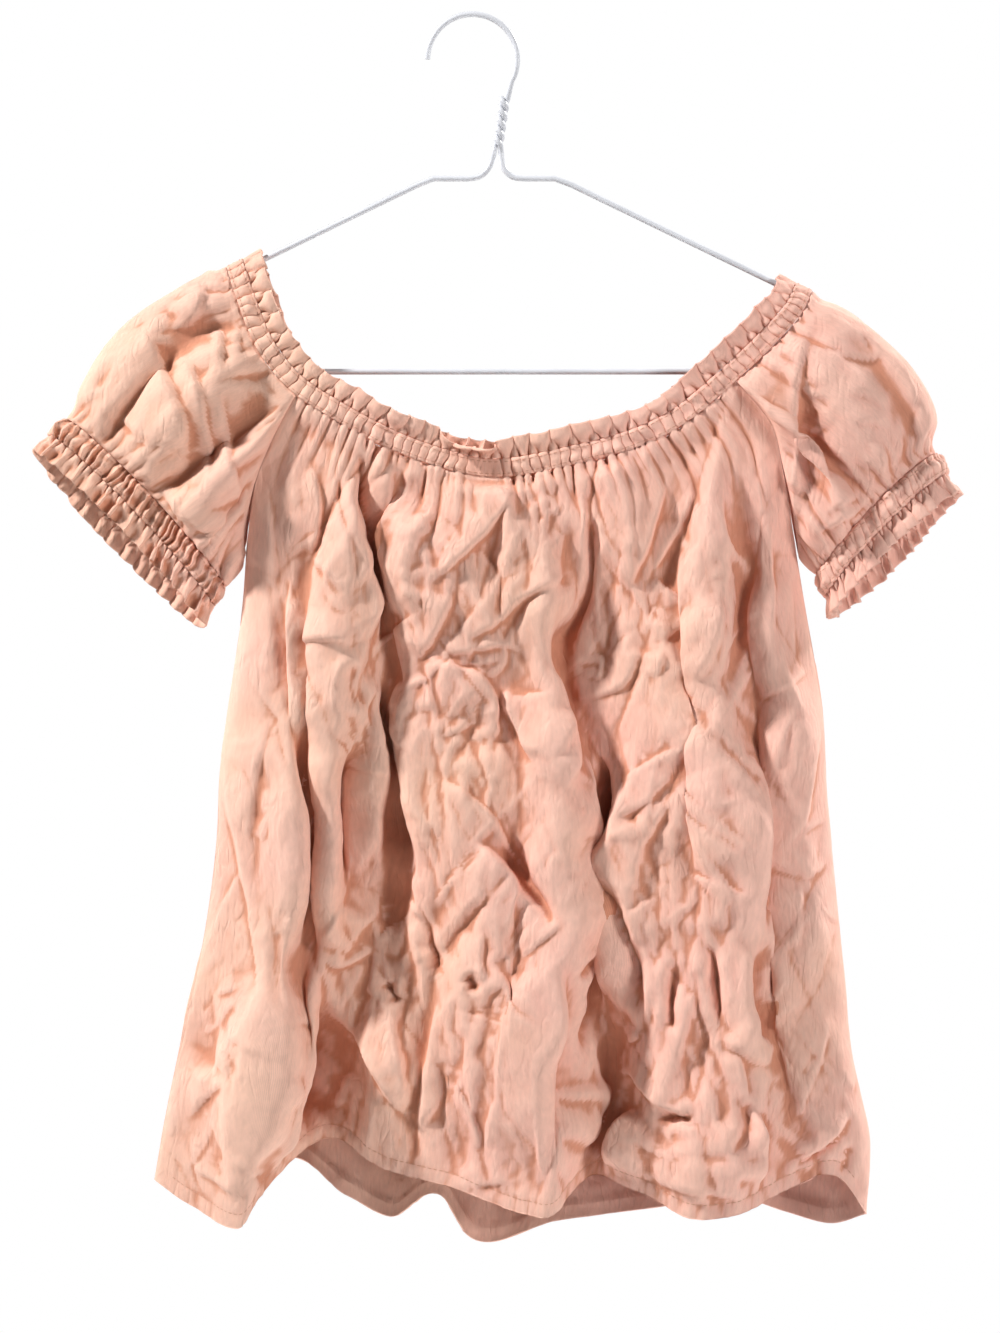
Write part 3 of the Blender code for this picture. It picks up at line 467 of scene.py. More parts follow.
# Random creases: how many there are, and the lowest and highest x and z of their middles
FRONT_SMALL_CREASES = 90
BACK_SMALL_CREASES = 100
BACK_LARGE_CREASES = 26
SLEEVE_SMALL_CREASES = 24
SMALL_CREASE_BOX = ((-170, -670), (215, -265))
LARGE_CREASE_BOX = ((-150, -640), (195, -290))
SLEEVE_CREASE_BOX = ((10, -110), (360, -5))

# Pleats that start at the gathered edges of a panel and of a sleeve
PANEL_PLEATS = 40
SLEEVE_NECK_PLEATS = 70
SLEEVE_CUFF_PLEATS = 50

# The share of the listed creases that is there before the cloth settles, and the share that is
# pressed in after it
SOFT_SHARE = 0.45
CRISP_SHARE = 0.70
# The share of the large folds' height that is used
FOLD_SHARE = 0.6

# Fine wrinkles in the cloth's surface, in degrees and millimetres
WRINKLE_WAYS = (
    # turn from upright, width, length, share of the depth
    (14, 9, 24, 0.30),
    (-42, 8, 26, 0.40),
    (58, 7, 24, 0.40),
)

# Facets of crumpled cloth, in millimetres and radians
CRUMPLES = (
    # size, height, stretch, turn
    (56, 6.0, 3.2, 0.10),
    (27, 3.4, 2.9, -0.30),
    (14, 1.6, 2.4, 0.35),
    (8, 0.5, 1.8, -0.1),
)
# Crisp ones, pressed into the settled cloth
PRESSED_CRUMPLES = (
    # size, height, stretch, turn
    (44, 8.0, 3.4, -0.14),
    (25, 5.4, 2.9, 0.42),
    (13, 2.2, 2.6, -0.40),
)

# How crumpled cloth settles, large folds first
THREAD_STIFFNESS = 0.0001
SETTLE_LEVELS = (
    # stride of the grid, growth across, growth down, pull back, rounds
    (8, 0.009, 0.000, 0.002, 60),
    (4, 0.020, 0.004, 0.003, 80),
    (2, 0.025, 0.005, 0.003, 45),
    (1, 0.018, 0.005, 0.003, 25),
)

# Grids: the size of a panel and of a sleeve that they are counted from and the pitch, in millimetres
PANEL_SIZE = (420, 475)
FRONT_PITCH = (1.64, 1.66)
BACK_PITCH = (2.5, 2.9)
SLEEVE_SIZE = (420, 125)
SLEEVE_PITCH = 2.2
# Under this pitch the inner skin of a panel has half the points of the outer one
FINE_PITCH = 1.8
BAND_COLUMNS_PER_GATHER = 9
BAND_ROWS = 13
STITCHED_BAND_ROWS = (2, -3)
# Width of a panel's cloth, for its threads and for the puckers at its hem
PANEL_CLOTH = 430.0

# Length of each band's cloth over the length of its seam
NECK_FULLNESS = 1.5
CUFF_FULLNESS = 1.9
NECK_SEED = 61
# Where the neck ruffle folds down over itself, and where the neck is flat for a short way, in x
NECK_LOOP_PLACE = -3.0
NECK_FLAT_PLACE = 5.0
NECK_FLAT_HALF = 12.0

# Random tables repeat after this many cells
TILE = 64

# Studio, in metres. AMBIENT is the strength of the even light from all round. What the camera sees
# behind the garment has strength 1.
AMBIENT = 0.08
FLOOR_RADIUS = 2.6
FLOOR_SIDES = 96
LIGHTS = (
    # name, place, size, share of the key light's power
    ("key light", (-2.2, -0.85, 1.7), 0.3, 1.0),
    ("fill light", (2.2, -1.6, 0.2), 0.8, 0.29),
    ("back light", (2.0, 1.4, 1.4), 0.4, 0.76),
    ("back fill light", (-2.0, 1.7, 0.1), 0.8, 0.19),
)

# Furthest that the front and the back reach from the hanger, and the last stretch that they ease into
FRONT_REACH = (46.0, 11.0)
BACK_REACH = (28.0, 10.0)

# Stitches
STITCH_PITCH = 3.4
STITCH_RADIUS = 0.28
STITCH_SECTIONS = (
    # place along the stitch, girth
    (-1.2, 0.5),
    (-0.6, 1.0),
    (0.6, 1.0),
    (1.2, 0.5),
)


def unit(vectors):
    """The vectors at length 1."""
    return vectors / np.maximum(np.linalg.norm(vectors, axis=-1, keepdims=True), 1e-9)


def ease(value):
    """0 below 0, 1 above 1, and a smooth step between."""
    t = np.clip(value, 0.0, 1.0)
    return t * t * (3 - 2 * t)


def hermite(at, values, where):
    """A smooth curve through `values` known at `at`, read at `where`."""
    slope = np.gradient(values, at, axis=0)
    i = np.clip(np.searchsorted(at, where, side="right") - 1, 0, len(at) - 2)
    span = at[i + 1] - at[i]
    t = (where - at[i]) / span
    if values.ndim > 1:
        span, t = span[:, None], t[:, None]
    return (
        values[i] * (1 + 2 * t) * (1 - t) ** 2
        + values[i + 1] * t * t * (3 - 2 * t)
        + slope[i] * span * t * (1 - t) ** 2
        + slope[i + 1] * span * t * t * (t - 1)
    )


def lengths_along(line):
    """The length of a line up to each of its points."""
    return np.concatenate([[0], np.cumsum(np.linalg.norm(np.diff(line, axis=0), axis=1))])


def read_line(line, known, where):
    """The line, known at `known`, read at `where`."""
    return np.stack([np.interp(where, known, line[:, k]) for k in range(line.shape[1])], axis=-1)


def smooth_line(points, count=400):
    """A smooth line through the points, as `count` points evenly spaced along it."""
    known = np.array(points, float)
    chord = lengths_along(known)
    line = hermite(chord, known, np.linspace(0, chord[-1], count))
    along = lengths_along(line)
    return read_line(line, along, np.linspace(0, along[-1], count))


def at_share(line, share):
    """Points of an evenly spaced line at these shares of its length."""
    return read_line(line, np.linspace(0, 1, len(line)), share)


def table_column(table, shares, column):
    """A smooth curve through one column of a table whose first column is the share."""
    known = np.array(table, float)
    return hermite(known[:, 0], known[:, column], shares)


def noise(x, y, seed):
    """Smooth noise from -1 to 1 with about one bump for each unit."""
    rng = np.random.default_rng(seed)
    angle = rng.uniform(0, 2 * math.pi, (TILE, TILE))
    gx, gy = np.cos(angle), np.sin(angle)
    x0, y0 = np.floor(x).astype(int), np.floor(y).astype(int)
    fx, fy = x - x0, y - y0
    sx, sy = (t * t * t * (t * (t * 6 - 15) + 10) for t in (fx, fy))

    def corner(dx, dy):
        i, j = (x0 + dx) % TILE, (y0 + dy) % TILE
        return gx[i, j] * (fx - dx) + gy[i, j] * (fy - dy)

    low = corner(0, 0) * (1 - sx) + corner(1, 0) * sx
    high = corner(0, 1) * (1 - sx) + corner(1, 1) * sx
    return 1.5 * (low * (1 - sy) + high * sy)


def facets(x, z, size, stretch, turn, seed):
    """Heights from -1 to 1 of flat three-sided facets that meet in straight creases. Their corners are
    about `size` apart, and `stretch` times that along the way `turn`."""
    rng = np.random.default_rng(seed)
    height = rng.uniform(-1, 1, (TILE, TILE))
    other_way = rng.random((TILE, TILE)) < 0.5
    moved = rng.uniform(-0.38, 0.38, (TILE, TILE, 2))
    a = (x * math.cos(turn) + z * math.sin(turn)) / size
    b = (z * math.cos(turn) - x * math.sin(turn)) / (size * stretch)
    first_i, first_j = np.floor(a).astype(int), np.floor(b).astype(int)
    total, found = np.zeros_like(a), np.zeros(a.shape, bool)
    for di, dj in ((0, 0), (0, -1), (0, 1), (-1, 0), (-1, -1), (-1, 1), (1, 0), (1, -1), (1, 1)):
        i, j = first_i + di, first_j + dj
        corners = []
        for ci, cj in ((i, j), (i + 1, j), (i + 1, j + 1), (i, j + 1)):
            off = moved[ci % TILE, cj % TILE]
            corners.append(np.stack([ci + off[..., 0], cj + off[..., 1], height[ci % TILE, cj % TILE]]))
        flip = other_way[i % TILE, j % TILE]
        for one, two in (((0, 1, 3), (0, 1, 2)), ((1, 2, 3), (0, 2, 3))):
            (x1, y1, h1), (x2, y2, h2), (x3, y3, h3) = (
                np.where(flip, corners[m], corners[n]) for m, n in zip(one, two)
            )
            twice_area = (x2 - x1) * (y3 - y1) - (x3 - x1) * (y2 - y1)
            w2 = ((a - x1) * (y3 - y1) - (x3 - x1) * (b - y1)) / twice_area
            w3 = ((x2 - x1) * (b - y1) - (a - x1) * (y2 - y1)) / twice_area
            within = (w2 >= -1e-9) & (w3 >= -1e-9) & (w2 + w3 <= 1 + 1e-9) & ~found
            total = np.where(within, h1 + w2 * (h2 - h1) + w3 * (h3 - h1), total)
            found |= within
    return total


def crumple(x, z, seed, sizes):
    """Relief of crumpled cloth: facets in several sizes."""
    return sum(
        height * facets(x, z, size, stretch, turn, seed + number)
        for number, (size, height, stretch, turn) in enumerate(sizes)
    )


def in_patches(x, z, seed):
    """From 0.25 where the cloth stayed nearly flat to 1.25 where it is most creased."""
    return 0.25 + ease(0.5 + 1.1 * noise(x / 70, z / 95, seed))


class SeamRing:
    """A closed seam, evenly spaced: at each share of the turn its point, the way across the seam and
    the way out of the cloth."""

    def __init__(self, points, across):
        along = lengths_along(points)
        self.length = along[-1]
        self.known = np.linspace(0, 1, len(points))
        even = self.known * self.length
        self.points = read_line(points, along, even)
        self.across = unit(read_line(across, along, even))
        forward = np.gradient(self.points, axis=0)
        forward[0] = forward[-1] = self.points[1] - self.points[-2]
        self.out = unit(np.cross(unit(forward), self.across))
        centre = self.points[:-1].mean(axis=0)
        if np.sum(self.out * (self.points - centre)) < 0:
            self.out = -self.out

    def at(self, turn):
        """Point, way across and way out at these shares of the ring."""
        turn = np.mod(turn, 1.0)
        return tuple(read_line(v, self.known, turn) for v in (self.points, self.across, self.out))


class NeckRing(SeamRing):
    """The seam between the neck casing and its ruffle. It starts at the left shoulder and runs along
    the front to the right shoulder and back behind."""

    SAMPLES = 2400
    SHOULDER = 0.08

    def __init__(self):
        line = smooth_line(NECK_LINE)
        angle = np.linspace(0, 2 * math.pi, self.SAMPLES + 1)
        share = (1 - np.cos(angle)) / 2
        flat = at_share(line, share)
        depth = np.sin(angle)
        flatten = np.where(depth > 0, NECK_FLATTEN_FRONT, NECK_FLATTEN_BACK)
        y = -NECK_DEPTH * depth * (1 - flatten * depth**2)
        points = np.stack([flat[:, 0], y, flat[:, 1]], axis=1)
        tangent = unit(np.gradient(line, axis=0))
        across = at_share(np.stack([-tangent[:, 1], tangent[:, 0]], axis=1), share)
        arm = np.array([math.cos(ARM_SLOPE), math.sin(ARM_SLOPE)])
        left = (1 - ease(share / self.SHOULDER))[:, None]
        right = ease((share - 1 + self.SHOULDER) / self.SHOULDER)[:, None]
        across = across * (1 - left - right) + left * arm + right * arm * (-1, 1)
        across = np.stack([across[:, 0], np.zeros(len(across)), across[:, 1]], axis=1)
        super().__init__(points, across)
        along = lengths_along(points)
        self.share_along = np.interp(self.known * self.length, along, share)
        self.half = int(np.argmax(self.share_along))

    def turn_of(self, share, front):
        """The share of the turn at which the front or back strand is at this share of the seam."""
        if front:
            front_known = self.known[: self.half]
            return float(np.interp(share, self.share_along[: self.half], front_known))
        back = self.share_along[self.half :][::-1]
        return float(np.interp(share, back, self.known[self.half :][::-1]))

    def below(self, turn):
        """Point and way out just below the casing."""
        point, across, out = self.at(turn)
        return point - (NECK_CASING + SEAM_GAP) * across, out


class CuffRing(SeamRing):
    """The seam where the sleeve ends. It starts at the top and runs down the front and up the back."""

    SAMPLES = 900

    def __init__(self, top, low, away):
        top, low = np.array(top, float), np.array(low, float)
        angle = np.linspace(0, 2 * math.pi, self.SAMPLES + 1)
        down = ((1 - np.cos(angle)) / 2)[:, None]
        front = np.sin(angle)
        way = unit(np.array(away[0]) * (1 - down) + np.array(away[1]) * down)
        flat = top * (1 - down) + low * down - way * (CUFF_TILT * front)[:, None]
        y = -CUFF_DEPTH * front * (1 - 0.3 * front**2)
        points = np.stack([flat[:, 0], y, flat[:, 1]], axis=1)
        super().__init__(points, np.stack([way[:, 0], np.zeros(len(way)), way[:, 1]], axis=1))


class SideSeam:
    """One edge of the front or back: the raglan seam down to the underarm, then the side seam."""

    SAMPLES = 500

    def __init__(self, ring, share, table, front, left):
        self.turn = ring.turn_of(share, front)
        top = ring.below(np.array([self.turn]))[0][0]
        flat = smooth_line(((top[0], top[2]),) + tuple(table), self.SAMPLES)
        self.known = np.linspace(0, 1, self.SAMPLES)
        arm = np.clip(self.known / UNDERARM, 0, 1)
        self.points = np.stack([flat[:, 0], top[1] * (1 - arm**4), flat[:, 1]], axis=1)
        self.side_x = -1 if left else 1
        self.side_y = -1 if front else 1
        self.panel_frame = self.frame(0.5 * math.pi * ease((arm - 0.75) / 0.25))
        self.sleeve_frame = self.frame(np.zeros(self.SAMPLES))

    def frame(self, turned):
        """The way across the seam and out of the cloth, turned from facing front to facing sideways."""
        along = unit(np.gradient(self.points, axis=0))
        level = np.zeros(self.SAMPLES)
        across = np.stack([self.side_x * np.cos(turned), -self.side_y * np.sin(turned), level], axis=1)
        across = unit(across - np.sum(across * along, axis=1, keepdims=True) * along)
        out = np.cross(along, across)
        return across, out * np.sign(out[0, 1] * self.side_y)

    def at(self, v, shift, frame_ways):
        """Points moved across the seam by `shift`, and the way out there."""
        across, out = (read_line(ways, self.known, v) for ways in frame_ways)
        shift = np.broadcast_to(shift, v.shape)
        return read_line(self.points, self.known, v) + across * shift[:, None], unit(out)


def fold_height(table, u, v, width):
    """How far the folds of a table stand out at (u, v), on cloth this wide there."""
    total = np.zeros_like(u)
    for top, middle, foot, start, end, half_width, height in table:
        line = top + v * (4 * middle - 3 * top - foot) + v * v * (2 * top + 2 * foot - 4 * middle)
        reach = (u - line) * width / half_width
        fade = ease((v - start) / 0.16) * (1 - ease((v - end + 0.16) / 0.16))
        total += height * fade * np.exp(-reach * reach)
    return total


def between_edges(top, bottom, left, right, u, v):
    """A surface between four edges: top and bottom run along u, left and right along v."""
    uu, vv = u[:, None, None], v[None, :, None]
    return (
        (1 - vv) * top[:, None]
        + vv * bottom[:, None]
        + (1 - uu) * left[None]
        + uu * right[None]
        - (1 - uu) * (1 - vv) * top[0]
        - uu * (1 - vv) * top[-1]
        - (1 - uu) * vv * bottom[0]
        - uu * vv * bottom[-1]
    )


def turn_in(share):
    """1 over most of a panel, falling to 0 at its sides as cloth does when it turns a corner."""
    return np.sqrt(np.clip(1 - np.abs(2 * share - 1) ** 6, 0, 1))


def spaced_columns(count):
    """Shares across a panel, closer together near its sides."""
    side = np.array([0.0, 0.0012, 0.0035, 0.007, 0.0115])
    inner = np.linspace(0.0165, 0.9835, count + 1 - 2 * len(side))
    return np.concatenate([side, inner, 1 - side[::-1]])


class Panel:
    """The middle surface of the front or back, from the neck casing to the hem."""

    def __init__(self, ring, front):
        self.ring = ring
        self.side = -1 if front else 1
        self.left = SideSeam(ring, RAGLAN_LEFT, EDGE_LEFT, front, True)
        self.right = SideSeam(ring, RAGLAN_RIGHT, EDGE_RIGHT, front, False)
        self.hem = HEM_FRONT if front else HEM_BACK
        self.folds = FOLDS_FRONT if front else FOLDS_BACK

    def grid(self, u, v):
        """Points in columns from neck to hem, and the way out along the top and both sides."""
        turn = self.left.turn + (self.right.turn - self.left.turn) * u
        top, top_out = self.ring.below(turn)
        depth = table_column(self.hem, u, 3) * turn_in(u)
        bottom = np.stack(
            [table_column(self.hem, u, 1), self.side * depth, table_column(self.hem, u, 2)], axis=1
        )
        left, left_out = self.left.at(v, -SEAM_GAP / 2, self.left.panel_frame)
        right, right_out = self.right.at(v, -SEAM_GAP / 2, self.right.panel_frame)
        top[0], top[-1] = left[0], right[0]
        bottom[0], bottom[-1] = left[-1], right[-1]
        grid = between_edges(top, bottom, left, right, u, v)
        uu, vv = np.meshgrid(u, v, indexing="ij")
        y = (1 - vv) * top[:, None, 1] + vv * bottom[:, None, 1]
        near_edge = 1 - turn_in(uu)
        y_left = left[None, :, 1] - (1 - vv) * top[0, 1] - vv * bottom[0, 1]
        y_right = right[None, :, 1] - (1 - vv) * top[-1, 1] - vv * bottom[-1, 1]
        y = y + near_edge * np.where(uu < 0.5, y_left, y_right)
        width = np.linalg.norm(right - left, axis=1)[None, :]
        lift = fold_height(self.folds, uu, vv, width)
        at_neck = 0.35 + 0.65 * ease(vv / 0.12)
        at_hem = 1 - 0.7 * ease((vv - 0.86) / 0.14)
        lift = lift * turn_in(uu) * at_neck * at_hem
        lift[:, 0] = 0
        swell = BODY_SWELL * np.sin(math.pi * vv) ** 0.7 * turn_in(uu)
        grid[..., 1] = y + self.side * (FOLD_SHARE * lift + swell)
        return grid, top_out, left_out, right_out


class Sleeve:
    """The middle surface of one sleeve: round its neck and raglan seams, and down to its cuff."""

    def __init__(self, ring, front, back, outline, cuff, folds, shoulder_turn):
        self.ring = ring
        self.seams = (front, back)
        self.outline = smooth_line(outline)
        self.cuff = cuff
        self.folds = folds
        self.shoulder_turn = shoulder_turn

    def start_ring(self, count=300):
        """Points and the way out along the neck and raglan seams: from the shoulder, down the front,
        and up the back again."""
        v = np.linspace(0, UNDERARM * 0.985, count)[1:]
        slack = UNDERARM_EASE * ease((v / UNDERARM - 0.45) / 0.4)
        parts = []
        for seam, sign in zip(self.seams, (1, -1)):
            span = seam.turn - self.shoulder_turn
            if abs(span) > 0.5:
                span -= math.copysign(1.0, span)
            near = abs(span) - SEAM_GAP / 2 / self.ring.length
            turns = self.shoulder_turn + math.copysign(near, span) * np.linspace(0, 1, count)
            neck, neck_out = self.ring.below(turns)
            raglan, raglan_out = seam.at(v, SEAM_GAP / 2 + slack, seam.sleeve_frame)
            line, out = np.concatenate([neck, raglan]), np.concatenate([neck_out, raglan_out])
            parts.append((line[::sign], out[::sign]))
        line = np.concatenate([part[0] for part in parts])
        out = np.concatenate([part[1] for part in parts])
        return line, out

    def grid(self, u, w):
        """Points in columns round the sleeve, and the ways out at its ends."""
        line, out = self.start_ring()
        along = lengths_along(line)
        start = read_line(line, along, u * along[-1])
        start_out = unit(read_line(out, along, u * along[-1]))
        end, _, end_out = self.cuff.at(u)
        uu, ww = u[:, None, None], w[None, :, None]
        grid = start[:, None] * (1 - ww) + end[:, None] * ww
        chord = (1 - w)[:, None] * start[0] + w[:, None] * end[0]
        bow = at_share(self.outline, w) - chord[:, [0, 2]]
        bow = bow * (ease(w / 0.15) * ease((1 - w) / 0.15))[:, None]
        near_top = np.exp(-(((uu + 0.5) % 1.0 - 0.5) / OUTLINE_REACH) ** 2)
        grid[..., [0, 2]] += near_top * bow[None]
        swell = np.abs(np.sin(2 * math.pi * uu)) ** 0.6 * np.sin(math.pi * ww) ** 0.8
        side = np.where(uu < 0.5, -1.0, 1.0)
        width = np.full((1, len(w)), 0.5 * (along[-1] + self.cuff.length))
        lift = fold_height(self.folds, *np.meshgrid(u, w, indexing="ij"), width)[..., None]
        lift = lift * np.minimum(np.abs(np.sin(2 * math.pi * uu)) * 2, 1) * np.sin(math.pi * ww) ** 0.5
        grid[..., 1:2] += side * (SLEEVE_PUFF * swell + lift)
        return grid, start_out, end_out


def photo_to_mm(route):
    """A route in pixels of the photo, as x and z at the hanger."""
    route = np.array(route, float)
    x = (route[:, 0] - PHOTO_ORIGIN[0]) * PHOTO_SCALE
    return np.stack([x, (PHOTO_ORIGIN[1] - route[:, 1]) * PHOTO_SCALE], axis=1)


def distance_to_route(points, route):
    """For each point its distance from a route, positive to the route's left, the share along the
    route of its nearest place, and the way to the left there."""
    best = np.full(len(points), np.inf)
    signed, share = np.zeros(len(points)), np.zeros(len(points))
    left = np.zeros((len(points), 2))
    for i in range(len(route) - 1):
        a, way = route[i], route[i + 1] - route[i]
        rel = points - a
        t = np.clip(rel @ way / max(way @ way, 1e-9), 0, 1)
        gap = rel - t[:, None] * way
        apart = np.hypot(gap[:, 0], gap[:, 1])
        nearer = apart < best
        best = np.where(nearer, apart, best)
        side = np.sign(way[0] * rel[:, 1] - way[1] * rel[:, 0])
        signed = np.where(nearer, side * apart, signed)
        share = np.where(nearer, (i + t) / (len(route) - 1), share)
        left[nearer] = unit(np.array([-way[1], way[0]]))
    return signed, share, left


def crease_relief(flat, creases, seed):
    """Height and sideways shift at flat points (x, z) from creases: (kind, width, height, route)."""
    points = flat.reshape(-1, 2)
    height = np.zeros(len(points))
    shift = np.zeros((len(points), 2))
    for number, (kind, width, rise, route) in enumerate(creases):
        line = smooth_line(route, 3 * len(route) + 2)
        reach = 3.2 * width + 6
        low, high = line.min(axis=0) - reach, line.max(axis=0) + reach
        near = np.all((points > low) & (points < high), axis=1)
        if not near.any():
            continue
        apart, share, left = distance_to_route(points[near], line)
        drift = noise(share * 3.0 + number, np.full(len(share), 0.37 * number), seed)
        beyond = ease(1.4 - np.abs(share - 0.5) * 2 * 1.4)
        fade = ease(share / 0.25) * ease((1 - share) / 0.25) * beyond * (1 + 0.3 * drift)
        if kind == "swell":
            height[near] += rise * fade * np.exp(-((apart / width) ** 2))
            continue
        if kind == "slit":
            wide = 1.35 * width * (1 + 0.3 * drift)
            out = np.abs(apart) / wide
            profile = 0.2 * np.exp(-((out - 2.4) ** 2)) - np.exp(-(out**1.3))
            height[near] += 1.8 * rise * fade * profile
            continue
        steep = apart if kind == "right" else -apart
        wide = width * (1 + 0.3 * drift)
        drop = 1.4 + 0.18 * rise
        gentle = np.clip(1 - np.maximum(-steep, 0) / (2.1 * wide), 0, 1) ** 1.3
        beside = np.maximum(steep, 0)
        fall = 1.25 * np.exp(-((beside / drop) ** 1.6)) - 0.25 * np.exp(-beside / (0.5 * wide))
        height[near] += rise * fade * np.where(steep < 0, gentle, fall)
        pull = 0.32 * rise * fade * np.exp(-((steep / (2.2 * drop)) ** 2))
        shift[near] += left * (pull * np.where(kind == "right", 1.0, -1.0))[:, None]
    return height.reshape(flat.shape[:-1]), shift.reshape(flat.shape)


def scattered_creases(count, low, high, seed, long=(12, 60), rise=(0.5, 1.8)):
    """Random small creases inside a box in the front view. Most run steeply down."""
    rng = np.random.default_rng(seed)
    creases = []
    for _ in range(count):
        middle = rng.uniform(low, high)
        lean = rng.normal(0, 0.4) if rng.random() < 0.7 else rng.uniform(-1.5, 1.5)
        length = rng.uniform(*long)
        way = np.array([math.sin(lean), -math.cos(lean)])
        side = np.array([way[1], -way[0]])
        bend = rng.normal(0, 0.12) * length
        start = middle - way * length / 2
        route = [start, start + way * length / 2 + side * bend, start + way * length]
        kind = "right" if rng.random() < 0.62 else "left"
        creases.append((kind, rng.uniform(4, 13), rng.uniform(*rise), route))
    return creases


def gathers(along, down, count, seed, pitch, height, reach):
    """Small pleats that start at a gathered edge: `along` is the place on the edge and `down` the
    distance from it, both in millimetres. They lie in sharp valleys, uneven in length, width and depth."""
    rng = np.random.default_rng(seed)
    total = np.zeros_like(along)
    drift = 1.5 * pitch * noise(along / (7 * pitch), down / (7 * pitch), seed + 1)
    for place in (np.arange(count) + 0.5 + rng.uniform(-0.4, 0.4, count)) * pitch:
        length = 5 + reach * rng.random() ** 1.8
        deep = height * rng.uniform(0.35, 1.4)
        wide = pitch * rng.uniform(0.16, 0.36) * (1 + 1.2 * down / reach)
        lean = rng.normal(0, 0.12) * down
        fade = np.exp(-((down / length) ** 2.2))
        apart = np.abs(along + drift * down / reach + lean - place)
        total -= deep * fade * np.exp(-((apart / wide) ** 1.3))
    return total + 0.4 * height * np.exp(-((down / (0.5 * reach)) ** 2))


def facing_out(grid, closed, outward):
    """Unit normals of a grid, on the side that `outward` points to, and 1 or -1 for its winding."""
    if closed:
        du = np.roll(grid, -1, axis=0) - np.roll(grid, 1, axis=0)
    else:
        du = np.gradient(grid, axis=0)
    normal = unit(np.cross(du, np.gradient(grid, axis=1)))
    facing = np.sign(np.sum(normal * outward, axis=-1).mean())
    return normal * facing, facing


def bent(points):
    """How far each point lies from between its neighbours, as a vector."""
    off = np.zeros_like(points)
    off[1:-1] += points[2:] + points[:-2] - 2 * points[1:-1]
    off[:, 1:-1] += points[:, 2:] + points[:, :-2] - 2 * points[:, 1:-1]
    return off


def finer(grid):
    """A grid with a smoothly placed point between each two of its points."""
    for axis in (0, 1):
        known = np.moveaxis(grid, axis, 0)
        edge = ((1, 1), (0, 0), (0, 0))
        wide = np.pad(known, edge, mode="reflect", reflect_type="odd")
        made = np.empty((2 * len(known) - 1, *known.shape[1:]))
        made[::2] = known
        made[1::2] = (9 * (wide[1:-2] + wide[2:-1]) - wide[:-3] - wide[3:]) / 16
        grid = np.moveaxis(made, 0, axis)
    return grid


def relax(start, growth, hold, pull, rounds):
    """Cloth that is longer than its place by `growth` across and down. It buckles out of the way while
    its threads keep their length and resist bending. Where `hold` is 0 it stays put."""
    every, first, last = slice(None), slice(None, -1), slice(1, None)
    diagonal = math.hypot(*growth) / math.sqrt(2)
    links = (
        ((last, every), (first, every), growth[0], 0.25),
        ((every, last), (every, first), growth[1], 0.25),
        ((last, last), (first, first), diagonal, 0.08),
        ((last, first), (first, last), diagonal, 0.08),
    )
    lengths = []
    for one, other, more, _ in links:
        now = np.linalg.norm(start[one] - start[other], axis=-1, keepdims=True)
        lengths.append(now * (1 + more * np.minimum(hold[one], hold[other])[..., None]))
    points, speed = start.copy(), np.zeros_like(start)
    for _ in range(rounds):
        push = pull * (start - points) - THREAD_STIFFNESS * bent(bent(points))
        for (one, other, _, weight), length in zip(links, lengths):
            way = points[one] - points[other]
            now = np.sqrt(np.einsum("ijk,ijk->ij", way, way))[..., None]
            way *= weight * (1 - length / np.maximum(now, 1e-6))
            push[one] -= way
            push[other] += way
        speed = 0.86 * speed + push
        points += speed * hold[..., None]
    return points


def settle(dressed, hold):
    """Crumpled cloth from a dressed grid: it buckles in large folds first and then in smaller ones."""
    moved = None
    for stride, across, down, pull, rounds in SETTLE_LEVELS:
        start = dressed[::stride, ::stride]
        if moved is not None:
            start = start + finer(moved)
        part = relax(start, (across, down), hold[::stride, ::stride], pull, rounds)
        moved = part - dressed[::stride, ::stride]
    return dressed + moved


def settle_round(dressed, hold, overlap=16):
    """The same for a tube of cloth: its columns overlap and are blended where they meet."""
    columns = len(dressed)
    order = np.arange(-overlap, columns + overlap + 1) % columns
    wide = settle(dressed[order], hold[order])
    tube = wide[overlap : overlap + columns].copy()
    share = ((np.arange(overlap) + 0.5) / overlap)[:, None, None]
    again = wide[overlap + columns : 2 * overlap + columns]
    tube[:overlap] = tube[:overlap] * share + again * (1 - share)
    return tube


def mesh_piece(name, points, faces, uv, painted_light_and_wear, cover, node):
    """A mesh object from points in millimetres and arrays of faces, with one UV pair for each point and
    one value for each point that sets its painted shade in the creases and painted highlight on the ridges."""
    mesh = bpy.data.meshes.new(name)
    corners = np.concatenate([np.asarray(part, dtype=np.int32).ravel() for part in faces])
    sizes = np.concatenate([np.full(len(part), part.shape[1]) for part in faces])
    mesh.vertices.add(len(points))
    mesh.vertices.foreach_set("co", (np.asarray(points, dtype=np.float32) * MM).ravel())
    mesh.loops.add(len(corners))
    mesh.loops.foreach_set("vertex_index", corners)
    mesh.polygons.add(len(sizes))
    mesh.polygons.foreach_set("loop_start", (np.cumsum(sizes) - sizes).astype(np.int32))
    mesh.update(calc_edges=True)
    if mesh.validate():
        raise RuntimeError(name + " has broken faces")
    layer = mesh.uv_layers.new(name="thread")
    layer.data.foreach_set("uv", (uv[corners] * MM).astype(np.float32).ravel())
    # This value sets the painted shade in the creases and the painted highlight along the ridges.
    painted_light_value = mesh.attributes.new("painted_light_and_wear", "FLOAT", "POINT")
    painted_light_value.data.foreach_set("value", painted_light_and_wear.astype(np.float32))
    mesh.shade_smooth()
    mesh.materials.append(cover)
    made = bpy.data.objects.new(name, mesh)
    bpy.context.scene.collection.objects.link(made)
    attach(made, "root")
    if node:
        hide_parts(node)
    return made


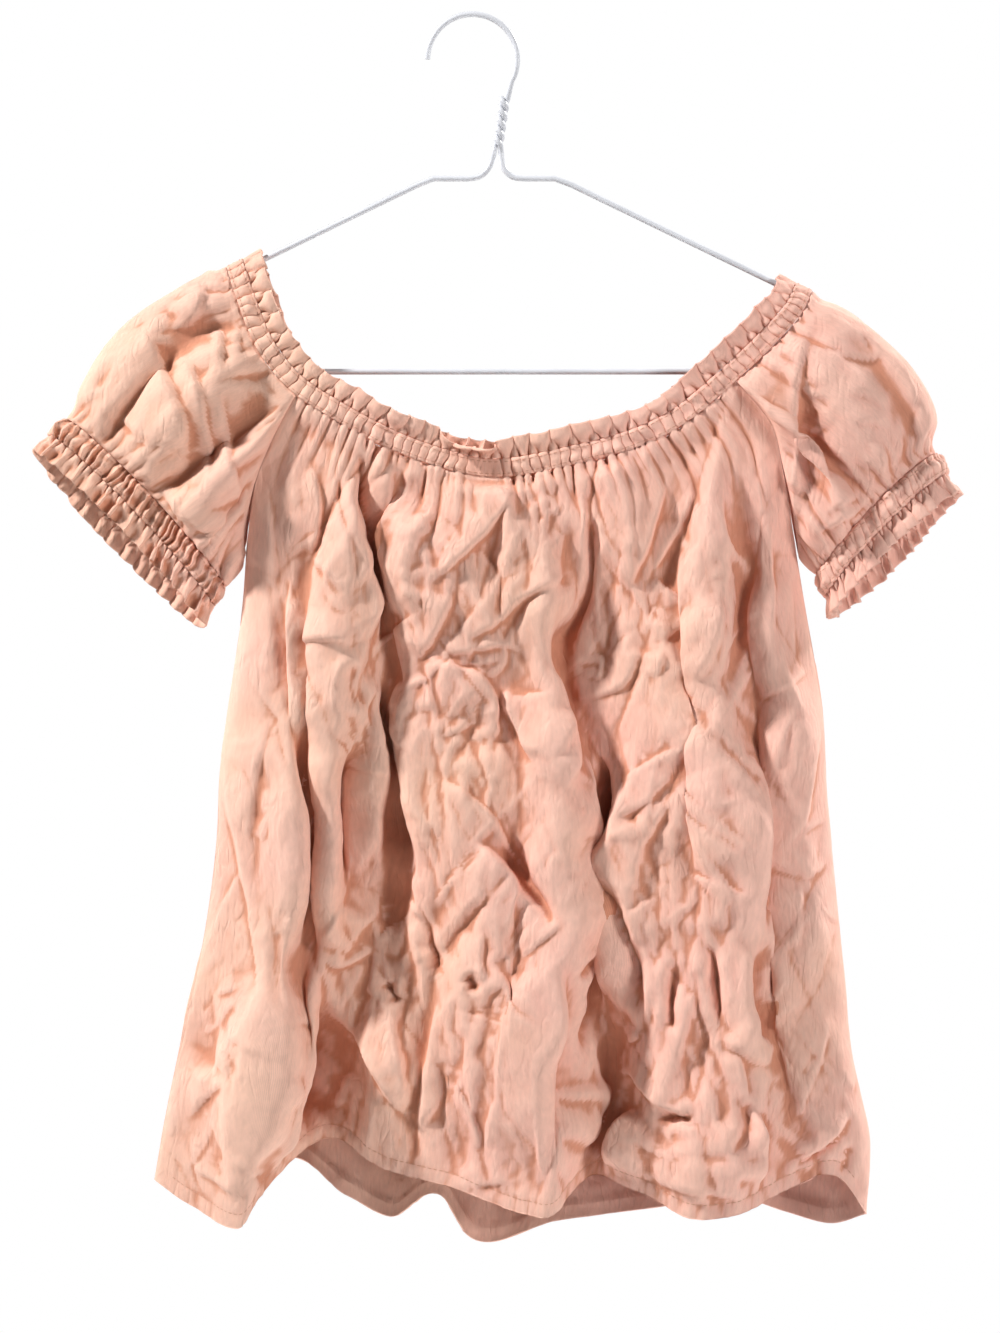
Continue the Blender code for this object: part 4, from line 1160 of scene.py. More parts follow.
def stitch_rows(name, rows):
    """Rows of small stitches as one joined mesh. Each row is a line on the cloth and the ways out."""
    points, sides = [], 4
    for line, out in rows:
        along = lengths_along(line)
        places = np.arange(STITCH_PITCH, along[-1] - STITCH_PITCH, STITCH_PITCH)
        way = unit(read_line(line, along, places + 1.2) - read_line(line, along, places - 1.2))
        up = unit(read_line(out, along, places))
        side = unit(np.cross(way, up))
        middle = read_line(line, along, places)
        corners = []
        for shift, girth in STITCH_SECTIONS:
            for corner in range(sides):
                angle = 2 * math.pi * (corner + 0.5) / sides
                ring = girth * STITCH_RADIUS * (math.cos(angle) * side + math.sin(angle) * up)
                corners.append(middle + shift * way + ring)
        points.append(np.stack(corners, axis=1).reshape(-1, 3))
    points = np.concatenate(points)
    number = np.arange(len(points)).reshape(-1, len(STITCH_SECTIONS), sides)
    after = np.roll(number, -1, axis=2)
    skin = np.stack([number[:, :-1], number[:, 1:], after[:, 1:], after[:, :-1]], axis=-1).reshape(-1, 4)
    faces = [np.concatenate([skin, number[:, 0], number[:, -1, ::-1]])]
    made = mesh_piece(name, points, faces, np.zeros((len(points), 2)), np.full(len(points), 0.5),
                      thread_material(), None)
    return made


def painted_light_from_relief(grid, normal, closed):
    """From 0 in the creases to 1 on the ridges of a grid, and about a half where it is flat: low values get
    painted shade and high values a painted highlight.
    """
    painted_light_and_wear = np.full(grid.shape[:2], 0.5)
    for step, weight in ((1, 0.14), (2, 0.34), (4, 0.18), (8, 0.12)):
        if closed:
            sides = np.roll(grid, step, axis=0) + np.roll(grid, -step, axis=0)
        else:
            padded = np.pad(grid, ((step, step), (0, 0), (0, 0)), mode="reflect", reflect_type="odd")
            sides = padded[: -2 * step] + padded[2 * step :]
        padded = np.pad(grid, ((0, 0), (step, step), (0, 0)), mode="reflect", reflect_type="odd")
        ends = padded[:, : -2 * step] + padded[:, 2 * step :]
        proud = np.sum((grid - (sides + ends) / 4) * normal, axis=-1)
        painted_light_and_wear += weight * np.clip(proud / (0.30 * step), -1, 1)
    return np.clip(painted_light_and_wear, 0, 1)


def rim(outer_line, inner_line):
    """Triangles between an outer edge and an inner edge that has every second of its points."""
    fine = [outer_line[0:-1:2], outer_line[1::2], outer_line[2::2]]
    near, far = inner_line[:-1], inner_line[1:]
    rows = ((fine[0], fine[1], near), (fine[1], far, near), (fine[1], fine[2], far))
    return np.concatenate([np.stack(row, axis=1) for row in rows])


def shell(name, outer, inner, facing, closed, cover, node, uv, painted_light_and_wear):
    """A thin closed sheet between two grids of points. The inner one has as many points as the outer
    one, or every second of them."""
    columns, rows = outer.shape[:2]
    number = np.arange(columns * rows).reshape(columns, rows)
    inner_number = columns * rows + np.arange(inner.shape[0] * inner.shape[1]).reshape(inner.shape[:2])
    step = 1 if inner.shape[:2] == (columns, rows) else 2
    if closed:
        number = np.concatenate([number, number[:1]])
        inner_number = np.concatenate([inner_number, inner_number[:1]])

    def skin(n):
        return np.stack([n[:-1, :-1], n[1:, :-1], n[1:, 1:], n[:-1, 1:]], axis=-1).reshape(-1, 4)

    quads = [skin(number), skin(inner_number)[:, ::-1]]
    edges = [(number[:, 0][::-1], inner_number[:, 0][::-1]), (number[:, -1], inner_number[:, -1])]
    if not closed:
        edges += [(number[0], inner_number[0]), (number[-1][::-1], inner_number[-1][::-1])]
    triangles = []
    for out_line, in_line in edges:
        if step == 1:
            strip = np.stack([out_line[1:], out_line[:-1], in_line[:-1], in_line[1:]], axis=1)
            quads.append(strip[:, ::-1])
        else:
            triangles.append(rim(out_line, in_line)[:, ::-1])
    faces = [np.concatenate(quads)] + ([np.concatenate(triangles)] if triangles else [])
    if facing < 0:
        faces = [part[:, ::-1] for part in faces]
    points = np.concatenate([outer.reshape(-1, 3), inner.reshape(-1, 3)])
    uv = np.concatenate([uv.reshape(-1, 2), uv[::step, ::step].reshape(-1, 2)])
    painted_light_and_wear = np.concatenate([painted_light_and_wear.ravel(), np.full(inner.shape[0] * inner.shape[1], 0.5)])
    return mesh_piece(name, points, faces, uv, painted_light_and_wear, cover, node)


def lowest_near(height, reach):
    """At each place of a grid the lowest height within `reach` places of it."""
    low = height.copy()
    for axis in (0, 1):
        padded = np.pad(low, [(reach, reach) if k == axis else (0, 0) for k in (0, 1)], mode="edge")
        size = low.shape[axis]
        views = [np.take(padded, range(k, k + size), axis=axis) for k in range(2 * reach + 1)]
        low = np.min(views, axis=0)
    return low


# Materials


def fill_inputs(tree, node, inputs):
    """Links each input that is given an output, and sets the others to the value they are given."""
    for key, value in inputs.items():
        if isinstance(value, bpy.types.NodeSocket):
            tree.links.new(value, node.inputs[key])
        else:
            node.inputs[key].default_value = value


def add_node(tree, kind, place, inputs=None, **settings):
    made = tree.nodes.new(kind)
    made.location = place
    for key, value in settings.items():
        setattr(made, key, value)
    fill_inputs(tree, made, inputs or {})
    return made


def maths(tree, place, operation, *values):
    inputs = dict(enumerate(values))
    return add_node(tree, "ShaderNodeMath", place, inputs, operation=operation).outputs["Value"]


def map_range(tree, place, value, low, high, to_low=0.0, to_high=1.0, curve="LINEAR"):
    """The value moved from between `low` and `high` to between `to_low` and `to_high`."""
    inputs = {"Value": value, "From Min": low, "From Max": high, "To Min": to_low, "To Max": to_high}
    return add_node(tree, "ShaderNodeMapRange", place, inputs, interpolation_type=curve).outputs["Result"]


def noise_texture(tree, place, vector, scale, detail=2.0, distortion=0.0):
    inputs = {"Vector": vector, "Scale": scale, "Detail": detail, "Distortion": distortion}
    return add_node(tree, "ShaderNodeTexNoise", place, inputs).outputs["Fac"]


def colour_ramp(tree, place, value, low, high, low_at=0.0, high_at=1.0):
    """A colour that goes from `low` to `high` as the value goes from `low_at` to `high_at`."""
    made = add_node(tree, "ShaderNodeValToRGB", place, {"Fac": value})
    first, last = made.color_ramp.elements
    first.position, last.position = low_at, high_at
    first.color, last.color = (*low, 1.0), (*high, 1.0)
    return made.outputs["Color"]


def mix_colour(tree, place, factor, first, second, blend="MIX"):
    inputs = {"Factor": factor, "A": first, "B": second}
    made = add_node(tree, "ShaderNodeMix", place, inputs, data_type="RGBA", blend_type=blend)
    return made.outputs["Result"]


def new_material(name):
    """A new material with its node tree and its shader."""
    made = bpy.data.materials.new(name)
    made.use_nodes = True
    return made, made.node_tree, made.node_tree.nodes["Principled BSDF"]


def wrinkle_height(tree, place):
    """Fine hairline wrinkles that run three ways, each in patches of its own."""
    total = None
    for number, (turn, across, along, weight) in enumerate(WRINKLE_WAYS):
        y = -900 - 300 * number
        turned = add_node(tree, "ShaderNodeMapping", (-1900, y), {
            "Vector": place,
            "Location": (number * 3.7, 0.0, number * 1.3),
            "Rotation": (0.0, math.radians(turn), 0.0),
            "Scale": (1000 / across, 1000 / across, 1000 / along),
        })
        streaks = noise_texture(tree, (-1700, y), turned.outputs["Vector"], 1.0, 1.5, 0.35)
        middle = maths(tree, (-1500, y), "SUBTRACT", streaks, 0.5)
        crease = maths(tree, (-1350, y), "ABSOLUTE", middle)
        line = map_range(tree, (-1200, y), crease, 0.0, 0.11, 0.0, weight, "SMOOTHERSTEP")
        patch = noise_texture(tree, (-1700, y - 150), place, 22.0 + 5 * number)
        where = map_range(tree, (-1350, y - 150), patch, 0.40, 0.62)
        part = maths(tree, (-1000, y), "MULTIPLY", line, where)
        total = part if total is None else maths(tree, (-850, y), "ADD", total, part)
    return total


def make_cloth(settings):
    """Plain-weave cloth: uneven dye, painted shade in the creases, a painted highlight on the ridges, slubs,
    fine threads and a soft sheen.
    """
    cloth, tree, shader = new_material("crumpled peach cloth")
    place = add_node(tree, "ShaderNodeTexCoord", (-1700, 0)).outputs
    patches = noise_texture(tree, (-1450, 350), place["Object"], 11.0, 4.0)
    sides = add_node(tree, "ShaderNodeSeparateXYZ", (-1450, 600), {"Vector": place["Object"]})
    pinker = map_range(tree, (-1250, 600), sides.outputs["X"], -0.30, 0.30, -0.2, 0.35)
    dye = maths(tree, (-1050, 500), "ADD", patches, pinker)
    dyed = colour_ramp(tree, (-850, 450), dye, settings.cloth_colour, settings.pink_colour, 0.35, 0.75)
    # Painted shade and painted highlight: by the value that each point carries, the creases are darkened
    # towards the crease colour and the ridges lightened towards the ridge colour.
    painted_light_value = add_node(tree, "ShaderNodeAttribute", (-1050, 800), attribute_name="painted_light_and_wear").outputs["Fac"]
    deep = map_range(tree, (-800, 800), painted_light_value, 0.46, 0.0, 0.0, 0.68)
    pale = map_range(tree, (-800, 1050), painted_light_value, 0.5, 1.0, 0.0, 0.24)
    with_crease_shade = mix_colour(tree, (-600, 500), deep, dyed, (*settings.shade_colour, 1.0))
    with_ridge_highlight = mix_colour(tree, (-400, 500), pale, with_crease_shade, (*settings.ridge_highlight_colour, 1.0))
    threads = add_node(tree, "ShaderNodeMapping", (-1200, -100), {
        "Vector": place["UV"],
        "Scale": (1000 / settings.thread_pitch, 1000 / settings.thread_pitch, 1.0),
    })
    warp, weft = (
        add_node(
            tree, "ShaderNodeTexWave", (-950, y),
            {"Vector": threads.outputs["Vector"], "Scale": 0.5, "Distortion": 1.2, "Detail Scale": 0.3},
            wave_type="BANDS", bands_direction=axis,
        ).outputs["Fac"]
        for axis, y in (("X", -50), ("Y", -350))
    )
    slub_place = add_node(
        tree, "ShaderNodeMapping", (-1200, -600), {"Vector": place["UV"], "Scale": (650.0, 160.0, 1.0)}
    )
    slubs = noise_texture(tree, (-950, -600), slub_place.outputs["Vector"], 1.0)
    cross = maths(tree, (-700, -150), "MAXIMUM", warp, weft)
    height = maths(tree, (-500, -250), "MULTIPLY_ADD", slubs, 1.0, cross)
    soft_bump = add_node(tree, "ShaderNodeBump", (-400, -800), {
        "Strength": 0.85,
        "Distance": 0.0008,
        "Height": wrinkle_height(tree, place["Object"]),
    })
    bump = add_node(tree, "ShaderNodeBump", (-250, -250), {
        "Strength": 0.4,
        "Distance": 0.0003,
        "Height": height,
        "Normal": soft_bump.outputs["Normal"],
    })
    fill_inputs(tree, shader, {
        "Base Color": mix_colour(tree, (-500, 200), 0.26, with_ridge_highlight, height, "MULTIPLY"),
        "Normal": bump.outputs["Normal"],
        "Roughness": 0.88,
        "Specular IOR Level": 0.25,
        "Sheen Weight": 0.10,
        "Sheen Roughness": 0.45,
        "Sheen Tint": (1.0, 0.86, 0.76, 1.0),
    })
    return cloth


def make_thread(settings):
    """Sewing thread from the cloth's own colour to a little darker than its creases, and glossier."""
    thread, tree, shader = new_material("peach sewing thread")
    place = add_node(tree, "ShaderNodeTexCoord", (-900, 0))
    grain = noise_texture(tree, (-700, 0), place.outputs["Object"], 2500.0)
    dark = [0.95 * value for value in settings.shade_colour]
    fill_inputs(tree, shader, {
        "Base Color": colour_ramp(tree, (-500, 0), grain, dark, settings.cloth_colour),
        "Roughness": 0.55,
        "Sheen Weight": 0.3,
    })
    return thread


def make_wire(settings):
    """White coated wire with a soft gloss and faint scuffs."""
    wire, tree, shader = new_material("white coated wire")
    place = add_node(tree, "ShaderNodeTexCoord", (-900, 0))
    scuffs = noise_texture(tree, (-700, 0), place.outputs["Object"], 45.0)
    painted_light_and_wear = [0.93 * value for value in settings.wire_colour]
    fill_inputs(tree, shader, {
        "Base Color": colour_ramp(tree, (-500, 100), scuffs, painted_light_and_wear, settings.wire_colour, 0.3, 0.55),
        "Roughness": map_range(tree, (-500, -200), scuffs, 0.0, 1.0, 0.28, 0.48),
        "Coat Weight": 0.4,
        "Coat Roughness": 0.2,
    })
    return wire


def make_floor_paint():
    """Pale matt paint with a faint grain."""
    floor, tree, shader = new_material("pale floor paint")
    grain = add_node(tree, "ShaderNodeTexNoise", (-600, 0), {"Scale": 40.0}).outputs["Fac"]
    paint = colour_ramp(tree, (-400, 0), grain, (0.86, 0.86, 0.86), (0.90, 0.90, 0.90))
    fill_inputs(tree, shader, {"Base Color": paint, "Roughness": 0.7})
    return floor


def material(name, maker, *settings):
    """The material of that name, made once."""
    return bpy.data.materials.get(name) or maker(*settings)


def cloth_material():
    return material("crumpled peach cloth", make_cloth, bpy.context.scene.garment_cloth)


def thread_material():
    return material("peach sewing thread", make_thread, bpy.context.scene.garment_cloth)


# Shapes that more than one operator needs


def cloth_thickness():
    """Thickness of the cloth, in millimetres."""
    return bpy.context.scene.garment_cloth.thickness / MM


def grid_count(size, pitch):
    """About size / pitch, as a number that every level of settling divides."""
    coarsest = SETTLE_LEVELS[0][0]
    return int(size / coarsest / pitch) * coarsest


def sleeve_shapes(ring):
    """Both sleeves with their cuffs, as (side, sleeve, cuff)."""
    front, back = Panel(ring, True), Panel(ring, False)
    right_shoulder = ring.known[ring.half]
    rows = (
        ("left", front.left, back.left, SLEEVE_TOP_LEFT, CUFF_LOW_LEFT, CUFF_AWAY_LEFT,
         FOLDS_SLEEVE_LEFT, 0.0),
        ("right", front.right, back.right, SLEEVE_TOP_RIGHT, CUFF_LOW_RIGHT, CUFF_AWAY_RIGHT,
         FOLDS_SLEEVE_RIGHT, right_shoulder),
    )
    shapes = []
    for side, front_seam, back_seam, outline, low, away, folds, shoulder in rows:
        cuff = CuffRing(outline[-1], low, away)
        shapes.append((side, Sleeve(ring, front_seam, back_seam, outline, cuff, folds, shoulder), cuff))
    return shapes


def build_panel(name, node, panel, pitch, creases, roughness, seed):
    """A panel as a shell: its folds and creases, the pleats below the casing, and the turned-up hem."""
    thickness = cloth_thickness()
    u = spaced_columns(grid_count(PANEL_SIZE[0], pitch[0]))
    sewn_row = grid_count(PANEL_SIZE[1], pitch[1]) - len(HEM_ROWS)
    height = lengths_along(panel.left.points)[-1]
    fold = 1 - HEM / height
    v = np.concatenate([np.linspace(0, fold, sewn_row + 1), fold + (1 - fold) * np.array(HEM_ROWS)])
    base, top_out, left_out, right_out = panel.grid(u, v)
    base_normal, facing = facing_out(base, False, np.array([0, panel.side, 0]))
    uu, vv = np.meshgrid(u, v, indexing="ij")
    flat = base[..., [0, 2]]
    relief, shift = crease_relief(flat, [row for row in creases if row[0] != "slit"], seed)
    slits, _ = crease_relief(flat, [row for row in creases if row[0] == "slit"], seed)
    pressed = roughness * crumple(flat[..., 0], flat[..., 1], seed + 60, PRESSED_CRUMPLES)
    pressed = pressed * in_patches(flat[..., 0], flat[..., 1], seed + 70) + CRISP_SHARE * relief + slits
    relief = SOFT_SHARE * relief + roughness * crumple(flat[..., 0], flat[..., 1], seed + 30, CRUMPLES)
    inside = turn_in(uu) * ease((vv - 0.005) / 0.03) * (1 - 0.5 * ease((vv - 0.95) / 0.04))
    top = lengths_along(base[:, 0])
    along = np.broadcast_to(top[:, None], uu.shape)
    pleat = top[-1] / PANEL_PLEATS
    folds = gathers(along, vv * height, PANEL_PLEATS, seed + 20, pleat, height=3.0, reach=90.0)
    turn = panel.left.turn + (panel.right.turn - panel.left.turn) * uu
    folds = (folds + seam_pleats(turn, vv * height, seed)) * gathered_share(panel.ring, turn)
    relief = relief * inside + folds * turn_in(uu)
    shift = shift * inside[..., None]
    dressed = base + base_normal * relief[..., None]
    dressed[..., [0, 2]] += SOFT_SHARE * shift
    patches = 0.55 + 0.6 * ease(0.5 + noise(flat[..., 0] / 90, flat[..., 1] / 90, seed + 9))
    hold = np.clip(turn_in(uu) * 1.4 - 0.4, 0, 1) * ease(vv / 0.04) * ease((1.02 - vv) / 0.06) * patches
    dressed = settle(dressed, np.minimum(hold, 1.0))
    puckers = hem_puckers(uu * PANEL_CLOTH, (1 - vv) * height, seed) * turn_in(uu)
    dressed += base_normal * (puckers + pressed * inside)[..., None]
    dressed[..., [0, 2]] += CRISP_SHARE * shift
    far, last = FRONT_REACH if panel.side < 0 else BACK_REACH
    beyond = np.maximum(panel.side * dressed[..., 1] - far, 0)
    dressed[..., 1] -= panel.side * (beyond - last * (1 - np.exp(-beyond / last)))
    normal, _ = facing_out(dressed, False, np.array([0, panel.side, 0]))
    normal[:, 0] = top_out
    normal[0], normal[-1] = left_out, right_out
    # Where the cloth gets painted shade in its creases and a painted highlight on its ridges.
    painted_light_and_wear = painted_light_from_relief(dressed, normal, False)
    outer = dressed + normal * thickness / 2
    at_hem = ease((vv - fold + 0.002) / 0.002) * (turn_in(uu) > 0.6)
    behind = dressed - normal * (thickness / 2 + HEM_THICKER * at_hem)[..., None]
    if pitch[0] < FINE_PITCH:
        relief = np.sum((dressed - base) * base_normal, axis=-1)
        hollow = base + base_normal * (lowest_near(relief, 3) - 0.8 * thickness)[..., None]
        part = (turn_in(uu) * ease((0.93 - vv) / 0.05) * ease(vv / 0.03))[..., None]
        behind = (hollow * part + behind * (1 - part))[::2, ::2]
    uv = np.stack([uu * PANEL_CLOTH, vv * height], axis=-1)
    made = shell(name, outer, behind, facing, False, cloth_material(), node, uv, painted_light_and_wear)
    stitch_rows(name + "_stitches", [(outer[6:-6, sewn_row], normal[6:-6, sewn_row])])
    return made


def front_turn(ring, x):
    """The share of the neck ring's turn at which its front strand is at this x."""
    turns = np.linspace(0, 1, 2000)
    seam = ring.at(turns)[0]
    return turns[(np.abs(seam[:, 0] - x) + 1000.0 * (seam[:, 1] > 0)).argmin()]


def gathered_share(ring, turn):
    """1 where the neck is gathered, and 0 along its short flat bit at the front."""
    away = (turn - front_turn(ring, NECK_FLAT_PLACE)) * ring.length / NECK_FLAT_HALF
    return 1 - np.exp(-(away**4))


def seam_pleats(turn, down, seed):
    """Small sharp pleats that carry on the gathers of the neck channel, each as far as it likes."""
    count = bpy.context.scene.garment_bands.neck_gathers
    phase, size = uneven_turn(turn, count, NECK_SEED)
    far = 6 + 26 * ease(0.5 + 1.2 * noise(turn * count / 1.3, down / 60, seed + 51)) ** 2
    pleat = 2 * np.abs(np.cos(phase / 2)) ** 0.75 - 1.1
    return 1.3 * size * pleat * np.exp(-((down / far) ** 1.6))


def hem_puckers(along, up, seed):
    """Small puckers along the hem's stitches, and a dip at the stitch line itself."""
    ripple = noise(along / 3.4, up / 14, seed + 41) + 0.6 * noise(along / 1.9, up / 20, seed + 42)
    stitch_dip = -0.45 * np.exp(-(((up - HEM) / 1.6) ** 2))
    return 0.75 * ripple * np.exp(-((up / 15.0) ** 2)) + stitch_dip


def ribbon(name, node, ring, start, end, count, fullness, lift, shoulders=(), stitched=()):
    """A gathered band round a seam, from start to end across it. `lift(turn, share)` gives how far it
    stands out and its shifts sideways and lengthways."""
    columns = count * BAND_COLUMNS_PER_GATHER
    turn = np.arange(columns) / columns
    point, across, out = ring.at(turn)
    forward = unit(np.cross(across, out))
    tt, ss = np.meshgrid(turn, np.linspace(0, 1, BAND_ROWS), indexing="ij")
    outward, sideways, lengthways = lift(tt, ss)
    calm = np.ones_like(turn)
    for place in shoulders:
        apart = np.abs((turn - place + 0.5) % 1.0 - 0.5)
        calm = calm * (0.35 + 0.65 * ease(apart / 0.03))
    reach = start + (end - start) * ss + lengthways
    middle = (
        point[:, None]
        + across[:, None] * reach[..., None]
        + out[:, None] * (outward * calm[:, None])[..., None]
        + forward[:, None] * (sideways * calm[:, None])[..., None]
    )
    normal, facing = facing_out(middle, True, out[:, None])
    flat_width = fullness * ring.length
    uv = np.stack([tt * flat_width, ss * abs(end - start)], axis=-1)
    # Where the cloth gets painted shade in its creases and a painted highlight on its ridges.
    painted_light_and_wear = painted_light_from_relief(middle, normal, True)
    half = normal * cloth_thickness() / 2
    made = shell(name, middle + half, middle - half, facing, True, cloth_material(), node, uv, painted_light_and_wear)
    if stitched:
        outer = middle + half
        stitch_rows(name + "_stitches", [(outer[:, row], normal[:, row]) for row in stitched])
    return made


def uneven_turn(turn, count, seed):
    """The phase of uneven gathers round a ring, closed on itself, and their uneven size."""
    rng = np.random.default_rng(seed)
    drift = np.zeros_like(turn)
    size = np.ones_like(turn)
    for wave in range(2, 30):
        drift += rng.normal(0, 0.9 / wave) * np.sin(2 * math.pi * (wave * turn + rng.random()))
        size += rng.normal(0, 0.08) * np.sin(2 * math.pi * (wave * 2 * turn + rng.random()))
    return 2 * math.pi * (count * turn + drift), np.clip(size, 0.35, 1.6)


def casing_lift(count, seed, height, bulge, wild=1.0, gathered=np.ones_like):
    """An elastic channel: gathers that run right across it, with sharp valleys between round pleats.
    Some pleats fork, lean or swallow their neighbour, and more so where `wild` is over 1. `gathered`
    gives how much of this there is at each place."""

    def lift(turn, share):
        lean = noise(turn * count / 4, share * 1.3, seed + 6)
        phase, size = uneven_turn(turn + 0.35 * wild / count * lean * (share - 0.5) * 2, count, seed)
        between = np.sin(math.pi * share) ** 0.6
        fork = 1 + 0.7 * noise(turn * count / 2.2, share * 1.8, seed + 5)
        pleat = 2 * np.abs(np.cos(phase / 2)) ** 0.75 - 1.1
        half_pleat = 2 * np.abs(np.cos(phase / 4 + 1.1)) ** 0.75 - 1.1
        mixed = pleat + 0.6 * half_pleat * ease(0.4 + noise(turn * count / 9, share, seed + 7))
        outward = height * size * fork * mixed + bulge * between
        outward = outward + 0.7 * wild * noise(turn * count / 5, share * 1.4, seed + 8)
        outward = outward + 1.6 * (wild - 1) * noise(turn * count / 2.4, share * 2.6, seed + 12)
        sideways = 0.55 * height * size * np.sin(phase)
        lengthways = 0.5 * wild * noise(turn * count / 2.5, share * 1.2, seed + 9) * between
        much = gathered(turn)
        return outward * much, sideways * much, lengthways * much

    return lift


def ruffle_lift(count, seed, start_height, end_height, lean_out, loop_at=None):
    """A ruffle: its fine gathers merge in pairs into round flutes that lean over each other, and
    stretches of it flop out or stand up. Near `loop_at` it folds down over itself."""

    def lift(turn, share):
        phase, size = uneven_turn(turn, count, seed)
        opening = ease((share - 0.05) / 0.6)
        pleat = 2 * np.abs(np.cos(phase / 2)) ** 0.75 - 1.1
        fine = start_height * size * pleat * (1 - 0.8 * opening)
        swing = phase / 2 + 0.9 * noise(turn * count / 5, share * 1.2, seed + 2) * opening
        wide = 1 + 0.8 * noise(turn * count / 4.5, share * 0.4 + 7, seed + 1)
        broad = end_height * wide * (2 * np.abs(np.cos(swing / 2)) ** 0.8 - 1.1) * opening
        flop = noise(turn * count / 9, share * 0.5, seed + 3)
        lean = lean_out * (0.35 + 1.2 * flop) * share**1.4
        sideways = 0.8 * end_height * wide * np.sin(swing) * opening
        sideways = sideways + 1.8 * noise(turn * count / 6, share * 0.5, seed + 5) * share
        lengthways = -0.6 * np.abs(flop) * lean_out * share**2
        edge_wave = noise(turn * count / 2.6, np.full_like(turn, 3.0), seed + 4)
        lengthways = lengthways + (1.1 * edge_wave - 0.5 * np.cos(swing)) * opening
        outward = fine + broad + lean
        if loop_at is not None:
            loop = np.exp(-(((turn - loop_at) / 0.019) ** 4)) * share**1.5
            outward = outward + 5.0 * loop
            lengthways = lengthways - 8.5 * loop * share
        return outward, sideways, lengthways

    return lift


# What a user can change


class ClothSettings(bpy.types.PropertyGroup):
    cloth_colour: bpy.props.FloatVectorProperty(
        name="Cloth", description="Colour of the cloth where the dye is even", subtype="COLOR",
        default=(0.80, 0.475, 0.35), min=0, max=1)
    pink_colour: bpy.props.FloatVectorProperty(
        name="Pinker dye", description="Colour of the pinker patches of dye", subtype="COLOR",
        default=(0.83, 0.46, 0.37), min=0, max=1)
    # Painted shade: the creases are darkened towards this colour in place of the shade that falls in them.
    shade_colour: bpy.props.FloatVectorProperty(
        name="Creases", description="Colour down in the creases, where the dye is deepest",
        subtype="COLOR", default=(0.52, 0.17, 0.075), min=0, max=1)
    # Painted highlight: the ridges are lightened towards this colour where the light catches them.
    ridge_highlight_colour: bpy.props.FloatVectorProperty(
        name="Ridges", description="Colour along the ridges, where the dye has worn", subtype="COLOR",
        default=(0.93, 0.66, 0.54), min=0, max=1)
    thickness: bpy.props.FloatProperty(
        name="Thickness", description="Thickness of the cloth", default=0.0007, unit="LENGTH")
    thread_pitch: bpy.props.FloatProperty(
        name="Thread pitch", description="Distance between threads, in millimetres", default=0.55)


class BandSettings(bpy.types.PropertyGroup):
    neck_gathers: bpy.props.IntProperty(
        name="Neck gathers", description="Gathers round the elastic neck", default=143)
    cuff_gathers: bpy.props.IntProperty(
        name="Cuff gathers", description="Gathers round each elastic cuff", default=57)


class WireSettings(bpy.types.PropertyGroup):
    wire_colour: bpy.props.FloatVectorProperty(
        name="Wire", description="Colour of the wire's coating", subtype="COLOR",
        default=(0.71, 0.72, 0.76), min=0, max=1)


class StageSettings(bpy.types.PropertyGroup):
    camera_distance: bpy.props.FloatProperty(
        name="Camera distance", description="From the camera to the hanger", default=2.6, unit="LENGTH")
    key_power: bpy.props.FloatProperty(
        name="Key light", description="Power of the soft light at the upper left", default=140.0,
        unit="POWER")
    floor_drop: bpy.props.FloatProperty(
        name="Floor", description="Height of the floor, with the hook's rest at 0", default=-1.7,
        unit="LENGTH")


# Operators


